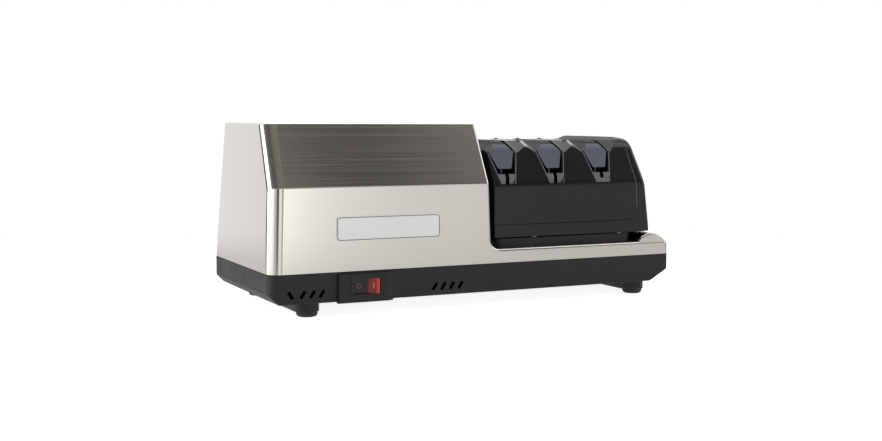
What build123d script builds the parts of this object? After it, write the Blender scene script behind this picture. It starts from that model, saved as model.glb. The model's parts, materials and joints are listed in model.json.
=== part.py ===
"""Electric knife sharpener: a motor housing on a low tray, and a slide-off module with three stages.

Row frame, in millimetres: +X runs along the length from the motor to the module, +Y to the back,
+Z up. The origin is on the standing surface, under the middle of the whole object.
"""
import os
from math import cos, pi, radians, sin, sqrt

from build123d import *

# ---------------------------------------------------------------- overall sizes
length = 405.0              # stainless cover, left wall to right end
depth = 168.6               # stainless cover, front to back at its bottom edge
rubber_height = 3.5         # foot rubber that shows below the runner
runner_drop = 9.0           # runner, from the base's underside down to the foot rubber
base_height = 25.5          # base, from its underside up to the seam with the cover
cover_height = 126.5        # cover, seam to top
tray_height = 13.3          # cover, seam to the top of the tray

# ---------------------------------------------------------------- fits and gaps
fit_gap = 0.3               # between pieces that are assembled together
running_gap = 0.05          # radial clearance of a turning shaft in its bush
slide_gap = 0.3             # between the module and the rails it slides on
seat_gap = 0.1              # between a clip or bolt and what it holds
seam_gap = 0.5              # dark line between the cover and the base

# ---------------------------------------------------------------- cover
sheet = 1.2                 # stainless sheet
motor_length = 209.0        # length of the tall part, measured at the tray
front_bend_height = 72.5    # seam to the bend between the front and the sloped face
front_lean = 1.5            # how far the front leans back up to that bend
slope_setback = 28.0        # front of the cover to the top edge of the sloped face
back_lean = 19.8            # how far the back wall leans forward over the cover's height
left_lean = 4.7
right_lean = 3.6
corner_front_left = 12.0
corner_back_left = 8.0
corner_tray = 7.0
bend_radius = 6.0
tray_corner_radius = 9.0    # hollow corner between the tall part and the tray
roll_radius = 3.0           # rolled edge along the right side and around the tray
top_roll = 2.7
ridge_width = 32.0          # half-round ridge pressed across the tray's end
ridge_height = 8.2
ridge_end_inset = 4.6       # ridge to the cover's right end
ridge_front_inset = 0.8
ridge_end_round = 2.4
ridge_plan_inset = 0.6       # keeps the ridge inside the tray's rounded corners
flange_width = 20.0         # turned-in flange along the left wall, for the fixing screws
flange_end_gap = 24.0

# ---------------------------------------------------------------- nameplate
plate_width = 97.0
plate_height = 20.4
plate_thickness = 1.0
plate_left = 59.7           # left end of the cover to the plate
plate_drop = 26.7           # seam to the plate's lower edge
plate_corner = 3.0

# ---------------------------------------------------------------- base
base_wall = 3.5
base_floor = 3.0
lip_thickness = 1.4
lip_height = 3.0
base_draft = 1.2            # how far front and back walls lean in towards the underside
left_bilge_width = 9.0      # slanted left end, measured along the length
left_bilge_drop = 17.0      # seam to where the left end starts to slant
right_bilge_width = 22.5
right_bilge_drop = 12.5
base_edge = 1.5
runner_radius = 10.5
foot_inset_left = 38.2      # cover's left end to the left feet
foot_inset_right = 32.5
foot_inset_y = 16.0
runner_wall = 3.0
foot_radius = 9.2
foot_round = 2.8            # rounding of the rubber foot's lower edge
foot_stem_radius = 5.0
foot_stem_height = 2.5
foot_screw_hole = 2.4
vent_width = 3.0
vent_height = 7.4
vent_drop = 17.3            # seam to the middle of the front vents
vent_pitch = 8.5
vent_lean = 32.0            # degrees
left_vent_x = 18.6          # cover's left end to the first, backward-leaning vent
left_vents_x = 29.5         # to the first of the three forward-leaning ones
middle_vents_x = 152.1
bolt_notch_radius = 2.6
bolt_notches_x = (121.0, 271.0)
floor_vent_width = 4.0
floor_vent_length = 46.0
floor_vent_pitch = 9.0
fan_vents_x = 58.0          # cover's left end to the first slot under the fan
fan_vent_count = 3
motor_vents_x = 128.0
motor_vent_count = 7

# ---------------------------------------------------------------- switch
boss_left = 59.7
boss_width = 44.0
boss_ramp = 8.0             # slanted right side of the boss
boss_stand = 3.0            # how far the boss stands in front of the base
boss_top_drop = 1.4
boss_height = 25.0
boss_edge = 0.8
switch_center_x = 85.8
switch_center_drop = 12.5
bezel_length = 27.4
bezel_height = 15.6
bezel_wall = 1.0
bezel_rim = 0.8             # rim that lies on the boss
bezel_rim_stand = 0.8
switch_depth = 21.0
rocker_radius = 12.4        # the rocker's ends are round about its pivot
rocker_pivot_depth = 3.0    # boss face to the rocker's pivot
rocker_stand = 3.2          # rocker's ends in front of its pivot plane, at mid travel
rocker_hollow = 1.6         # depth of the shallow valley between its two halves
rocker_back = 4.0
rocker_travel = 16.0        # degrees, from one side pressed to the other
rocker_pin_radius = 1.4
rocker_pin_length = 0.8

# ---------------------------------------------------------------- cord inlet
inlet_x = 34.0              # cover's left end to the inlet, in the base's back wall
inlet_drop = 13.0
inlet_radius = 6.5
inlet_bore = 4.0
inlet_flange = 9.0
inlet_flange_thickness = 1.8

# ---------------------------------------------------------------- motor
shaft_height = 52.0         # above the seam
shaft_back = 80.0           # behind the cover's front
stator_radius = 48.0
stator_bore = 24.5
stator_gap = 61.0           # laminations to the cover's right wall, at the tray
stator_length = 66.0
slot_count = 12
slot_inner = 27.0
slot_outer = 38.5
slot_width = 5.4
air_gap = 0.5
winding_overhang = 13.0
winding_gap = 0.3
bell_flange = 5.0
bell_radius = 41.0
bell_wall = 2.5
bell_depth = 20.0
bell_boss_radius = 11.0
bell_boss_length = 9.0
bell_window_count = 6
bell_window_width = 9.0
bush_outer_radius = 8.0
motor_shaft_radius = 5.0
tie_bolt_radius = 2.0
tie_bolt_circle = 44.5
tie_bolt_head = 3.3
tie_bolt_head_height = 3.0
rotor_ring_length = 5.0
rotor_ring_radius = 20.0
fan_gap = 4.0               # fan to the rear bell's boss
fan_radius = 42.0
fan_length = 16.0
fan_plate = 2.0
fan_blade = 1.8
fan_blade_count = 9
fan_hub_radius = 10.0
shaft_tail = 3.0            # shaft beyond the fan

# ---------------------------------------------------------------- motor bracket
isolator_radius = 7.0
isolator_height = 4.0
isolator_boss_height = 2.0
bracket_sheet = 3.0
bracket_half_depth = 42.0
bracket_screw_inset = 9.0
cradle_height = 47.0        # cradle arms above the bracket's underside
bracket_screw_radius = 2.0

# ---------------------------------------------------------------- drive coupling
coupling_radius = 10.0
coupling_hub = 10.0
jaw_length = 7.2
jaw_gap = 0.5
jaw_inner_radius = 5.5
jaw_angle = 54.0            # degrees each; three on each half
port_radius = 15.0
port_ring_bore = 12.5
port_ring_flange = 18.0
port_ring_thickness = 2.0

# ---------------------------------------------------------------- module
module_gap = 4.3            # tall part of the cover to the module, at the tray
module_front_inset = 4.0
module_lift = 0.3           # module's underside above the ridge
module_bend_height = 70.0   # seam to the bend, as on the cover
module_slope = 0.5          # setback per millimetre of height on the sloped face
module_top_height = 113.0
module_end_inset = 18.2     # module's right end, at its underside, to the cover's right end
module_right_lean = 0.128   # lean per millimetre of height
module_wall = 2.5
module_bend_radius = 24.0
module_top_radius = 20.0
module_end_radius = 6.0
module_left_edge = 1.2
panel_bottom_height = 34.8  # seam to the lower edge of the raised cover panel
panel_end_inset = 17.1      # panel's right edge, at its lower edge, to the module's right end
panel_right_lean = 0.057
panel_corner = 12.0
panel_stand = 1.0           # the module's cover stands this far outside its base
panel_lip = 4.0
panel_gap = 0.8             # dark groove around the panel

# ---------------------------------------------------------------- stages
stage_count = 3
first_stage_inset = 15.4    # module's left end to the middle of the first stage
last_stage_inset = 56.1     # middle of the last stage to the module's right end
notch_floor_height = 71.0
notch_shoulder_height = 99.6
notch_half_bottom = 7.8
notch_half_top = 15.5
saddle_half_width = 16.5
saddle_rim_height = 99.5
saddle_peak_height = 104.0
saddle_last_slope = 0.95    # flank between the last notch and the module's end
saddle_rise = 0.42          # rise of the saddle per millimetre towards the middle
crest_height = 110.0        # top between the stages, a little under the top of the right end
knob_radius = 3.2           # round knobs along the crests
knob_top_height = 111.0
knob_inset = 31.0           # module's front to the knobs
trough_gap = 0.15
trough_wall = 1.2
trough_recess = 0.5         # trough ends behind the module's surface
pad_height = 9.0
pad_gap = 3.8               # slot between the pads, where the blade's edge runs
pad_recess = 2.0
spine_thickness = 1.2
spine_height = 14.5         # above the trough floor
spine_inset = 16.0          # front of the module to the spine
bead_radius = 1.3
tie_bar_height = 3.0
tie_bar_length = 6.0
tie_bar_offset = 40.0       # from the shaft, so that the bars miss the discs
magnet_thickness = 1.5
magnet_height = 6.0
magnet_length = 30.0
magnet_rise = 9.0          # trough floor to the middle of the magnets

# ---------------------------------------------------------------- guide springs
guide_over_pads = 4.65      # pads to the guide's underside
guide_flare_height = 13.6   # guide's underside to its widest place
guide_side_height = 2.0     # upright stretch above that
guide_crown_height = 107.6  # where the slanted shoulders end
guide_crown_half = 5.6
guide_top_height = 109.8
guide_top_half = 4.4
slot_low = 3.4              # blade slot at the guide's underside
slot_high = 1.6            # blade slot at its widest place
guide_recess = 1.6
guide_wall = 1.8
guide_travel = 2.0          # degrees each way

# ---------------------------------------------------------------- discs and their shaft
disc_shaft_radius = 4.0
disc_radius = 24.0
disc_rim = 1.4
disc_inner_offset = 1.6     # stage middle to the disc's inner face at the rim
disc_cone_width = 4.6
disc_cone_radius = 14.0
disc_hub_radius = 7.0
disc_hub_offset = 2.6       # stage middle to the hub's inner end
disc_hub_end = 7.9          # stage middle to the hub's outer end
disc_travel = 1.0
disc_pocket_gap = 1.2
spring_outer = 6.4
washer_count = 4            # disc springs in the stack between a stage's two discs
washer_thickness = 0.5
washer_play = 0.02
clip_thickness = 0.8
clip_radius = 6.0
disc_bush_radius = 7.0
disc_bush_length = 3.8
right_bush_inset = 24.8     # bush to the module's right end

# ---------------------------------------------------------------- rails
rail_front = 45.0           # behind the cover's front
rail_spread = 70.0
rail_inset = 10.7           # module's left end to the rails
rail_web = 4.0
rail_head = 8.4
rail_head_height = 3.2
rail_foot = 12.0
rail_foot_height = 1.6
rail_head_bottom = 2.6      # module's underside to the underside of the rail head
tunnel_wall = 2.4
deck_inset_left = 6.7       # module's left end to the docking deck
deck_ridge_gap = 1.4        # docking deck to the ridge
deck_end = 12.8             # deck beyond the rails' right end
deck_inset = 7.0            # module's front to the deck's
deck_gap = 0.8              # deck to the module's underside
deck_corner = 6.0

# ---------------------------------------------------------------- screws
screw_radius = 2.0
screw_head_radius = 3.6
screw_head_height = 2.2
screw_sink = 2.4            # base's underside to the seats of the screw heads
small_screw_radius = 1.6
small_head_radius = 2.9
module_screw_depth = 14.0
post_screw_depth = 12.0
screw_tip_gap = 2.0
flange_screw_inset = 14.5
tray_post_inset = 87.0      # posts under the tray to the cover's right end
post_radius = 5.0
post_wall_inset = 16.0
module_post_radius = 3.6
module_post_inset = 6.4
module_post_inset_x = (44.7, 34.8)  # from the module's left and right ends

# ================================================================ worked-out places
foot_top_z = rubber_height
runner_bottom_z = rubber_height
floor_under_z = runner_bottom_z + runner_drop
floor_top_z = floor_under_z + base_floor
seam_z = floor_under_z + base_height
top_z = seam_z + cover_height
tray_z = seam_z + tray_height

bezel_front_stand = boss_stand + bezel_rim_stand
pressed_swing = radians(rocker_travel / 2)
rocker_tip_stand = (sqrt(rocker_radius**2 - rocker_stand**2) * sin(pressed_swing)
                    + rocker_stand * cos(pressed_swing) - rocker_pivot_depth)
front_stand = max(bezel_front_stand, boss_stand + rocker_tip_stand)     # the foremost point of all

left = -length / 2
right = length / 2
front = (front_stand - depth) / 2
back = front + depth
motor_right = left + motor_length
shaft_y = front + shaft_back
shaft_z = seam_z + shaft_height
ridge_crown_z = tray_z + ridge_height
module_bottom_z = ridge_crown_z + module_lift
module_left = motor_right + module_gap
module_front = front + module_front_inset
module_back = 2 * shaft_y - module_front
module_right = right - module_end_inset
stage_pitch = (module_right - module_left - first_stage_inset - last_stage_inset) / (stage_count - 1)
stage_x = [module_left + first_stage_inset + stage_pitch * n for n in range(stage_count)]
stage_names = [f"stage_{n + 1}" for n in range(stage_count)]


# ================================================================ helpers
def along_x(points, x0, x1):
    """Prism with a (y, z) outline, from x0 to x1."""
    face = make_face(Plane.YZ.offset(x0) * Polyline(*points, close=True))
    return extrude(face, amount=x1 - x0, dir=(1, 0, 0))


def along_y(points, y0, y1):
    """Prism with an (x, z) outline, from y0 to y1."""
    face = make_face(Plane.XZ.offset(-y0) * Polyline(*points, close=True))
    return extrude(face, amount=y1 - y0, dir=(0, 1, 0))


def block(x0, x1, y0, y1, z0, z1):
    """Box between two corners."""
    size = Box(x1 - x0, y1 - y0, z1 - z0, align=Align.MIN)
    return Pos(x0, y0, z0) * size


def rod_x(radius, x0, x1, y=None, z=None):
    """Round bar along X, on the motor's axis unless another one is given."""
    y = shaft_y if y is None else y
    z = shaft_z if z is None else z
    bar = Cylinder(radius, x1 - x0, align=(Align.CENTER, Align.CENTER, Align.MIN))
    return Pos(x0, y, z) * Rot(0, 90, 0) * bar


def rod_y(radius, y0, y1, x, z):
    """Round bar along Y."""
    bar = Cylinder(radius, y1 - y0, align=(Align.CENTER, Align.CENTER, Align.MIN))
    return Pos(x, y0, z) * Rot(-90, 0, 0) * bar


def rod_z(radius, z0, z1, x, y):
    """Round bar along Z."""
    bar = Cylinder(radius, z1 - z0, align=(Align.CENTER, Align.CENTER, Align.MIN))
    return Pos(x, y, z0) * bar


def turned_x(points):
    """Solid turned about the motor's axis from an outline of (x, radius) points."""
    face = make_face(Plane.XZ * Polyline(*points, close=True))
    return Pos(0, shaft_y, shaft_z) * revolve(face, Axis.X, 360)


def around_shaft(piece, count, start=0.0):
    """Copies of a piece spaced evenly about the motor's axis."""
    axis = Axis((0, shaft_y, shaft_z), (1, 0, 0))
    return [piece.rotate(axis, start + 360 / count * n) for n in range(count)]


def edges_where(shape, test):
    """Edges whose middle point passes a test."""
    return [edge for edge in shape.edges() if test(edge.position_at(0.5), edge)]


def joined(pieces):
    """One shape from several that touch or overlap."""
    whole = pieces[0]
    for piece in pieces[1:]:
        whole = whole + piece
    return whole


def group(pieces):
    """Separate solids kept together as one node."""
    return Compound(children=list(pieces))


# ================================================================ cover
def cover_form(inset):
    """The pressed cover's outside, or its inside when inset is the sheet's thickness."""
    side_view = [(front, seam_z), (front + front_lean, seam_z + front_bend_height),
                 (front + slope_setback, top_z), (back - back_lean, top_z), (back, seam_z)]
    front_view = [(left, seam_z), (left + left_lean, top_z), (motor_right - right_lean, top_z),
                  (motor_right, tray_z), (right, tray_z), (right, seam_z)]
    side_face = make_face(Plane.YZ * Polyline(*side_view, close=True))
    front_face = make_face(Plane.XZ * Polyline(*front_view, close=True))
    if inset:
        side_face = offset(side_face, amount=-inset, kind=Kind.INTERSECTION)
        front_face = offset(front_face, amount=-inset, kind=Kind.INTERSECTION)
    form = (extrude(side_face, amount=length, both=True, dir=(1, 0, 0))
            & extrude(front_face, amount=length, both=True, dir=(0, 1, 0)))

    def on_bend(p, edge):
        return abs(p.Z - seam_z - front_bend_height) < bend_radius and p.Y < front + slope_setback / 2

    def in_hollow(p, edge):
        return abs(p.X - motor_right) < 2 * sheet + 1 and abs(p.Z - tray_z) < 2 * sheet + 1

    form = fillet(edges_where(form, on_bend), bend_radius - inset)
    form = fillet([e for e in edges_where(form, in_hollow) if abs(e.tangent_at(0.5).Y) > 0.9],
                  tray_corner_radius + inset)

    def upright_at(x_test, y_test):
        return lambda p, edge: (x_test(p.X) and y_test(p.Y) and abs(edge.tangent_at(0.5).X) < 0.5
                                and abs(edge.tangent_at(0.5).Z) > 0.5)

    mid_y = (front + back) / 2
    near_left = left + left_lean + 2 * sheet
    form = fillet(edges_where(form, upright_at(lambda x: x < near_left, lambda y: y < mid_y)),
                  corner_front_left - inset)
    form = fillet(edges_where(form, upright_at(lambda x: x < near_left, lambda y: y > mid_y)),
                  corner_back_left - inset)
    form = fillet(edges_where(form, upright_at(lambda x: x > right - 2 * sheet, lambda y: True)),
                  corner_tray - inset)

    def on_right_roll(p, edge):
        level_tray = abs(p.Z - (tray_z - inset)) < 0.01 and p.X > motor_right
        side_wall = motor_right - right_lean - 2 * sheet < p.X < motor_right + tray_corner_radius + 1
        across = abs(edge.tangent_at(0.5).Y) > 0.95
        upright = side_wall and not across and seam_z + tray_height / 2 < p.Z < top_z - inset - 0.01
        return (level_tray and p.X > motor_right + tray_corner_radius + inset + 0.5) or upright

    form = fillet(edges_where(form, on_right_roll), roll_radius - inset)
    form = fillet(edges_where(form, lambda p, edge: abs(p.Z - (top_z - inset)) < 0.01),
                  top_roll - inset)
    return form + ridge_form(inset)


def ridge_form(inset):
    """Half-round ridge across the tray, with rounded ends."""
    middle_x = right - ridge_end_inset - ridge_width / 2
    radius = (ridge_width**2 / 4 + ridge_height**2) / (2 * ridge_height)
    bar = rod_y(radius - inset, front + ridge_front_inset + inset, back - ridge_front_inset - 4 - inset,
                middle_x, tray_z + ridge_height - radius)
    bar = fillet(bar.edges().filter_by(GeomType.CIRCLE), ridge_end_round - inset)
    keep = block(left, right, front, back, tray_z - sheet - 0.4, top_z)
    plan = extrude(plan_outline(ridge_plan_inset + inset, seam_z), amount=cover_height, dir=(0, 0, 1))
    return bar & keep & plan


def plan_outline(inset, z):
    """Outline of the cover's lower edge, which the base carries on downwards, at a height."""
    x0, x1 = left + inset, right - inset
    y0, y1 = front + inset, back - inset
    outline = make_face(Plane((0, 0, z)) * Polyline((x0, y0), (x1, y0), (x1, y1), (x0, y1), close=True))
    for x, y, radius in ((x0, y0, corner_front_left), (x0, y1, corner_back_left), (x1, y0, corner_tray),
                         (x1, y1, corner_tray)):
        corner = outline.vertices().sort_by_distance((x, y, z))[0]
        outline = fillet(corner, radius - inset)
    return outline


def stainless_cover():
    inside = cover_form(sheet)
    opening = extrude(inside.faces().sort_by(Axis.Z)[0], amount=2 * sheet, dir=(0, 0, -1))
    shell = cover_form(0) - inside - opening
    shell = shell - block(left - 1, right + 1, front - 1, back + 1, seam_z - 1, seam_z + seam_gap)
    port = rod_x(port_radius, motor_right - 15, motor_right + 5)
    flange = block(left + sheet / 2, left + flange_width, front + flange_end_gap,
                   back - flange_end_gap, seam_z + lip_height + fit_gap,
                   seam_z + lip_height + fit_gap + sheet)
    shell = shell + flange
    for x, y in flange_screw_places():
        shell = shell - rod_z(screw_radius + fit_gap, seam_z, seam_z + 3 * lip_height, x, y)
    return shell - port


def nameplate():
    """Bare plate on the front, its face parallel to the leaning front wall."""
    lean = front_lean / front_bend_height
    middle_z = seam_z + plate_drop + plate_height / 2
    plate = RectangleRounded(plate_width, plate_height, plate_corner)
    place = Plane(origin=(left + plate_left + plate_width / 2, front + lean * (middle_z - seam_z), middle_z),
                  x_dir=(1, 0, 0), z_dir=(0, -1, lean))
    body = extrude(place * plate, amount=plate_thickness)
    return chamfer(body.faces().sort_by(Axis.Y)[0].edges(), 0.3)


# ================================================================ base
def flange_screw_places():
    x = left + flange_screw_inset
    return [(x, front + flange_end_gap + 8), (x, back - flange_end_gap - 8)]


def tray_post_places():
    x = right - tray_post_inset
    return [(x, front + post_wall_inset), (x, back - post_wall_inset)]


def runner_places():
    return left + foot_inset_left, right - foot_inset_right


def foot_places():
    xs = runner_places()
    ys = (front + foot_inset_y, back - foot_inset_y)
    return {"front_left": (xs[0], ys[0]), "front_right": (xs[1], ys[0]),
            "rear_left": (xs[0], ys[1]), "rear_right": (xs[1], ys[1])}


def isolator_places():
    x0 = bracket_left + bracket_screw_inset
    x1 = bracket_right - bracket_screw_inset
    offset_y = bracket_half_depth - bracket_screw_inset
    return [(x, shaft_y + y) for x in (x0, x1) for y in (-offset_y, offset_y)]


def base_hull(inset, top, bottom):
    """Outside of the base with slanted ends and drafted walls, or a skin further in."""
    low = floor_under_z - base_height
    left_slope = left_bilge_width / (base_height - left_bilge_drop)
    right_slope = right_bilge_width / (base_height - right_bilge_drop)
    draft = base_draft / base_height
    end_view = [(left, top + 9), (left, seam_z - left_bilge_drop),
                (left + left_slope * (seam_z - left_bilge_drop - low), low),
                (right - right_slope * (seam_z - right_bilge_drop - low), low),
                (right, seam_z - right_bilge_drop), (right, top + 9)]
    side_view = [(front, top + 9), (front, seam_z), (front + draft * (seam_z - low), low),
                 (back - draft * (seam_z - low), low), (back, seam_z), (back, top + 9)]
    end_face = make_face(Plane.XZ * Polyline(*end_view, close=True))
    side_face = make_face(Plane.YZ * Polyline(*side_view, close=True))
    if inset:
        end_face = offset(end_face, amount=-inset, kind=Kind.INTERSECTION)
        side_face = offset(side_face, amount=-inset, kind=Kind.INTERSECTION)
    hull = extrude(plan_outline(inset, top), amount=top - bottom, dir=(0, 0, -1))
    hull = hull & extrude(end_face, amount=length, both=True, dir=(0, 1, 0))
    return hull & extrude(side_face, amount=length, both=True, dir=(1, 0, 0))


def runner(x, inset):
    """Hull-shaped runner under one end of the base, from foot to foot."""
    y0, y1 = front + foot_inset_y, back - foot_inset_y
    slot = SlotCenterToCenter(y1 - y0, 2 * (runner_radius - inset))
    bottom = runner_bottom_z + (base_floor if inset else 0)
    sketch = Plane((x, (y0 + y1) / 2, bottom)) * Rot(0, 0, 90) * slot
    return extrude(sketch, amount=floor_under_z + base_floor - bottom)


def vent_slots():
    """Leaning slots through the front wall, and notches in its lower edge."""
    slots = []
    places = [(left_vent_x, vent_lean)]
    places += [(left_vents_x + vent_pitch * n, -vent_lean) for n in range(3)]
    places += [(middle_vents_x + vent_pitch * n, -vent_lean) for n in range(4)]
    for x, lean in places:
        outline = Rectangle(vent_width, vent_height)
        place = Plane(origin=(left + x, front - 1, seam_z - vent_drop), x_dir=(1, 0, 0), z_dir=(0, -1, 0))
        slots.append(extrude(place * Rot(0, 0, lean) * outline, amount=base_wall + 3, dir=(0, 1, 0)))
    for x in bolt_notches_x:
        slots.append(rod_y(bolt_notch_radius, front - 1, front + base_wall - 0.5, left + x, floor_under_z))
    return slots


def floor_vents():
    """Air slots in the floor, beside the fan and under the drive end of the motor."""
    slots = []
    for first_x, count in ((fan_vents_x, fan_vent_count), (motor_vents_x, motor_vent_count)):
        for n in range(count):
            x = left + first_x + n * floor_vent_pitch
            slots.append(block(x - floor_vent_width / 2, x + floor_vent_width / 2,
                               shaft_y - floor_vent_length / 2, shaft_y + floor_vent_length / 2,
                               floor_under_z - 1, floor_top_z + 1))
    return slots


def switch_boss():
    """Boss on the front wall that carries the switch, its right side ramped."""
    x0 = left + boss_left
    x1 = x0 + boss_width
    top = seam_z - boss_top_drop
    plan = [(x0, front + 1), (x0 + 1, front - boss_stand), (x1, front - boss_stand),
            (x1 + boss_ramp, front), (x1 + boss_ramp, front + 1)]
    face = make_face(Plane((0, 0, top)) * Polyline(*plan, close=True))
    boss = extrude(face, amount=boss_height, dir=(0, 0, -1))
    foremost = boss.faces().sort_by(Axis.Y)[0]
    return fillet(foremost.edges(), boss_edge)


def base():
    hull = base_hull(0, seam_z, floor_under_z)
    hull = fillet(edges_where(hull, lambda p, e: abs(p.Z - floor_under_z) < 0.01), base_edge)
    for x in runner_places():
        outside = runner(x, 0)
        rim = outside.faces().sort_by(Axis.Z)[0].edges()
        hull = hull + chamfer(rim, base_edge)
    hull = hull + switch_boss()
    hull = hull + base_hull(base_wall - lip_thickness, seam_z + lip_height, seam_z)
    hull = hull - base_hull(base_wall, seam_z + lip_height + 1, floor_top_z)
    for x in runner_places():
        hull = hull - runner(x, runner_wall)
    for x, y in foot_places().values():
        hull = hull + rod_z(foot_stem_radius + 2, runner_bottom_z + base_floor - 0.5, floor_top_z, x, y)
    for x, y in isolator_places():
        hull = hull + rod_z(isolator_radius + 1, floor_top_z - 1, floor_top_z + isolator_boss_height, x, y)
    for x, y in flange_screw_places():
        hull = hull + rod_z(post_radius, floor_top_z - 1, seam_z + lip_height, x, y)
    for x, y in tray_post_places():
        hull = hull + rod_z(post_radius + 1, floor_top_z - 1, floor_top_z + 2, x, y)
    for slot in vent_slots() + floor_vents():
        hull = hull - slot
    for x, y in foot_places().values():
        hull = hull - rod_z(foot_stem_radius, runner_bottom_z - 1, runner_bottom_z + foot_stem_height, x, y)
        hull = hull - rod_z(screw_radius + seat_gap, runner_bottom_z, floor_top_z + 1, x, y)
    for x, y in isolator_places():
        hull = hull - rod_z(bracket_screw_radius + seat_gap, floor_under_z - 1, floor_top_z + 4, x, y)
    for x, y in flange_screw_places() + tray_post_places():
        hull = hull - rod_z(screw_radius + fit_gap, runner_bottom_z, seam_z + lip_height + 1, x, y)
        hull = hull - rod_z(screw_head_radius + fit_gap, runner_bottom_z, floor_under_z + screw_sink, x, y)
    hull = hull - switch_opening()
    inlet = rod_y(inlet_radius + seat_gap, back - base_wall - 2, back + 1, left + inlet_x, seam_z - inlet_drop)
    return hull - inlet


def bare_foot(x, y):
    """Rubber foot with a stem that presses into the runner and a well for its screw."""
    bottom = rod_z(foot_radius, 0, rubber_height, x, y)
    bottom = fillet(bottom.edges().sort_by(Axis.Z)[0], foot_round)
    stem = rod_z(foot_stem_radius - seat_gap, rubber_height, rubber_height + foot_stem_height - seat_gap, x, y)
    well = rod_z(screw_head_radius + fit_gap, -1, screw_head_height + 0.6, x, y)
    return bottom + stem - well - rod_z(foot_screw_hole, 0, 20, x, y)


def headed_screw(x, y, head_z, top, radius=screw_radius, head_radius=screw_head_radius):
    """Screw that is driven upwards, with a drive socket in its head."""
    head = rod_z(head_radius, head_z, head_z + screw_head_height, x, y)
    shank = rod_z(radius, head_z + screw_head_height, top, x, y)
    socket = Pos(x, y, head_z) * extrude(RegularPolygon(radius * 0.7, 6), amount=screw_head_height * 0.6)
    return head + shank - socket


def foot_screws():
    return group(headed_screw(x, y, 0.6, floor_top_z - 0.5) for x, y in foot_places().values())


def cover_screws():
    """Screws from under the base into the cover's flange and the tray's posts."""
    screws = []
    for x, y in flange_screw_places():
        screws.append(headed_screw(x, y, floor_under_z + screw_sink - screw_head_height,
                                   seam_z + lip_height + fit_gap + sheet + 2))
    for x, y in tray_post_places():
        screws.append(headed_screw(x, y, floor_under_z + screw_sink - screw_head_height,
                                   floor_top_z + post_screw_depth))
    return group(screws)


def tray_posts():
    """Threaded posts welded under the tray, which stand on the base."""
    posts = []
    for x, y in tray_post_places():
        post = rod_z(post_radius, floor_top_z + 2, tray_z - sheet, x, y)
        posts.append(post - rod_z(screw_radius + seat_gap, floor_top_z,
                                  floor_top_z + post_screw_depth + screw_tip_gap, x, y))
    return group(posts)


def cord_inlet():
    """Rubber bush in the base's leaning back wall; the lead passes through it."""
    x, z = left + inlet_x, seam_z - inlet_drop
    lean = base_draft / base_height
    inner_y = back - base_wall - lean * (inlet_drop + inlet_flange) - seat_gap
    outer_y = back - lean * (inlet_drop + inlet_radius)
    body = rod_y(inlet_radius, inner_y - inlet_flange_thickness, outer_y, x, z)
    flange = rod_y(inlet_flange, inner_y - inlet_flange_thickness, inner_y, x, z)
    return body + flange - rod_y(inlet_bore, inner_y - inlet_flange_thickness - 1, back + 1, x, z)


# ================================================================ switch
def switch_center():
    return left + switch_center_x, front - boss_stand, seam_z - switch_center_drop


def rocker_pivot():
    x, face_y, z = switch_center()
    return x, face_y + rocker_pivot_depth, z


def switch_opening():
    x, face_y, z = switch_center()
    half_x = bezel_length / 2 + seat_gap
    half_z = bezel_height / 2 + seat_gap
    return block(x - half_x, x + half_x, face_y - 1, face_y + switch_depth, z - half_z, z + half_z)


def switch_body():
    """Moulded switch case with a thin rim, open at the front for the rocker."""
    x, face_y, z = switch_center()
    half_x, half_z = bezel_length / 2, bezel_height / 2
    case = block(x - half_x, x + half_x, face_y, face_y + switch_depth, z - half_z, z + half_z)
    rim = block(x - half_x - bezel_rim, x + half_x + bezel_rim, face_y - bezel_rim_stand, face_y,
                z - half_z - bezel_rim, z + half_z + bezel_rim)
    rim = chamfer(rim.faces().sort_by(Axis.Y)[0].edges(), bezel_rim_stand / 2)
    well = block(x - half_x + bezel_wall, x + half_x - bezel_wall, face_y - 2,
                 face_y + rocker_pivot_depth + rocker_back + 2,
                 z - half_z + bezel_wall, z + half_z - bezel_wall)
    body = case + rim - well
    px, py, pz = rocker_pivot()
    pin_holes = rod_z(rocker_pin_radius + running_gap, z - half_z + bezel_wall - rocker_pin_length - 0.1,
                      z + half_z - bezel_wall + rocker_pin_length + 0.1, px, py)
    return body - pin_holes


def rocker():
    """Rocker with two shallow halves; it rests with its left half pressed in."""
    px, py, pz = rocker_pivot()
    height = bezel_height - 2 * bezel_wall - 2 * fit_gap
    z0 = pz - height / 2
    drum = rod_z(rocker_radius, z0, z0 + height, px, py)
    reach = rocker_radius + 1
    outline = [(-reach, -rocker_stand - rocker_hollow * (reach / rocker_radius - 1)),
               (0, -rocker_stand + rocker_hollow),
               (reach, -rocker_stand - rocker_hollow * (reach / rocker_radius - 1)),
               (reach, 0), (rocker_radius * 0.6, rocker_back), (-rocker_radius * 0.6, rocker_back),
               (-reach, 0)]
    slab = extrude(make_face(Plane((px, py, z0)) * Polyline(*outline, close=True)), amount=height)
    body = drum & slab
    pins = rod_z(rocker_pin_radius, z0 - fit_gap - rocker_pin_length, z0 + height + fit_gap + rocker_pin_length,
                 px, py)
    body = body + pins
    return body.rotate(Axis((px, py, 0), (0, 0, 1)), -rocker_travel / 2)


# ================================================================ motor
def stator_x0():
    return motor_right - stator_gap - stator_length


def stator_x1():
    return motor_right - stator_gap


def fan_left_x():
    return stator_x0() - bell_depth - bell_boss_length - fan_gap - fan_length


bracket_left = stator_x0() - bell_flange - bracket_sheet
bracket_right = stator_x1() + bell_flange + bracket_sheet


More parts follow.
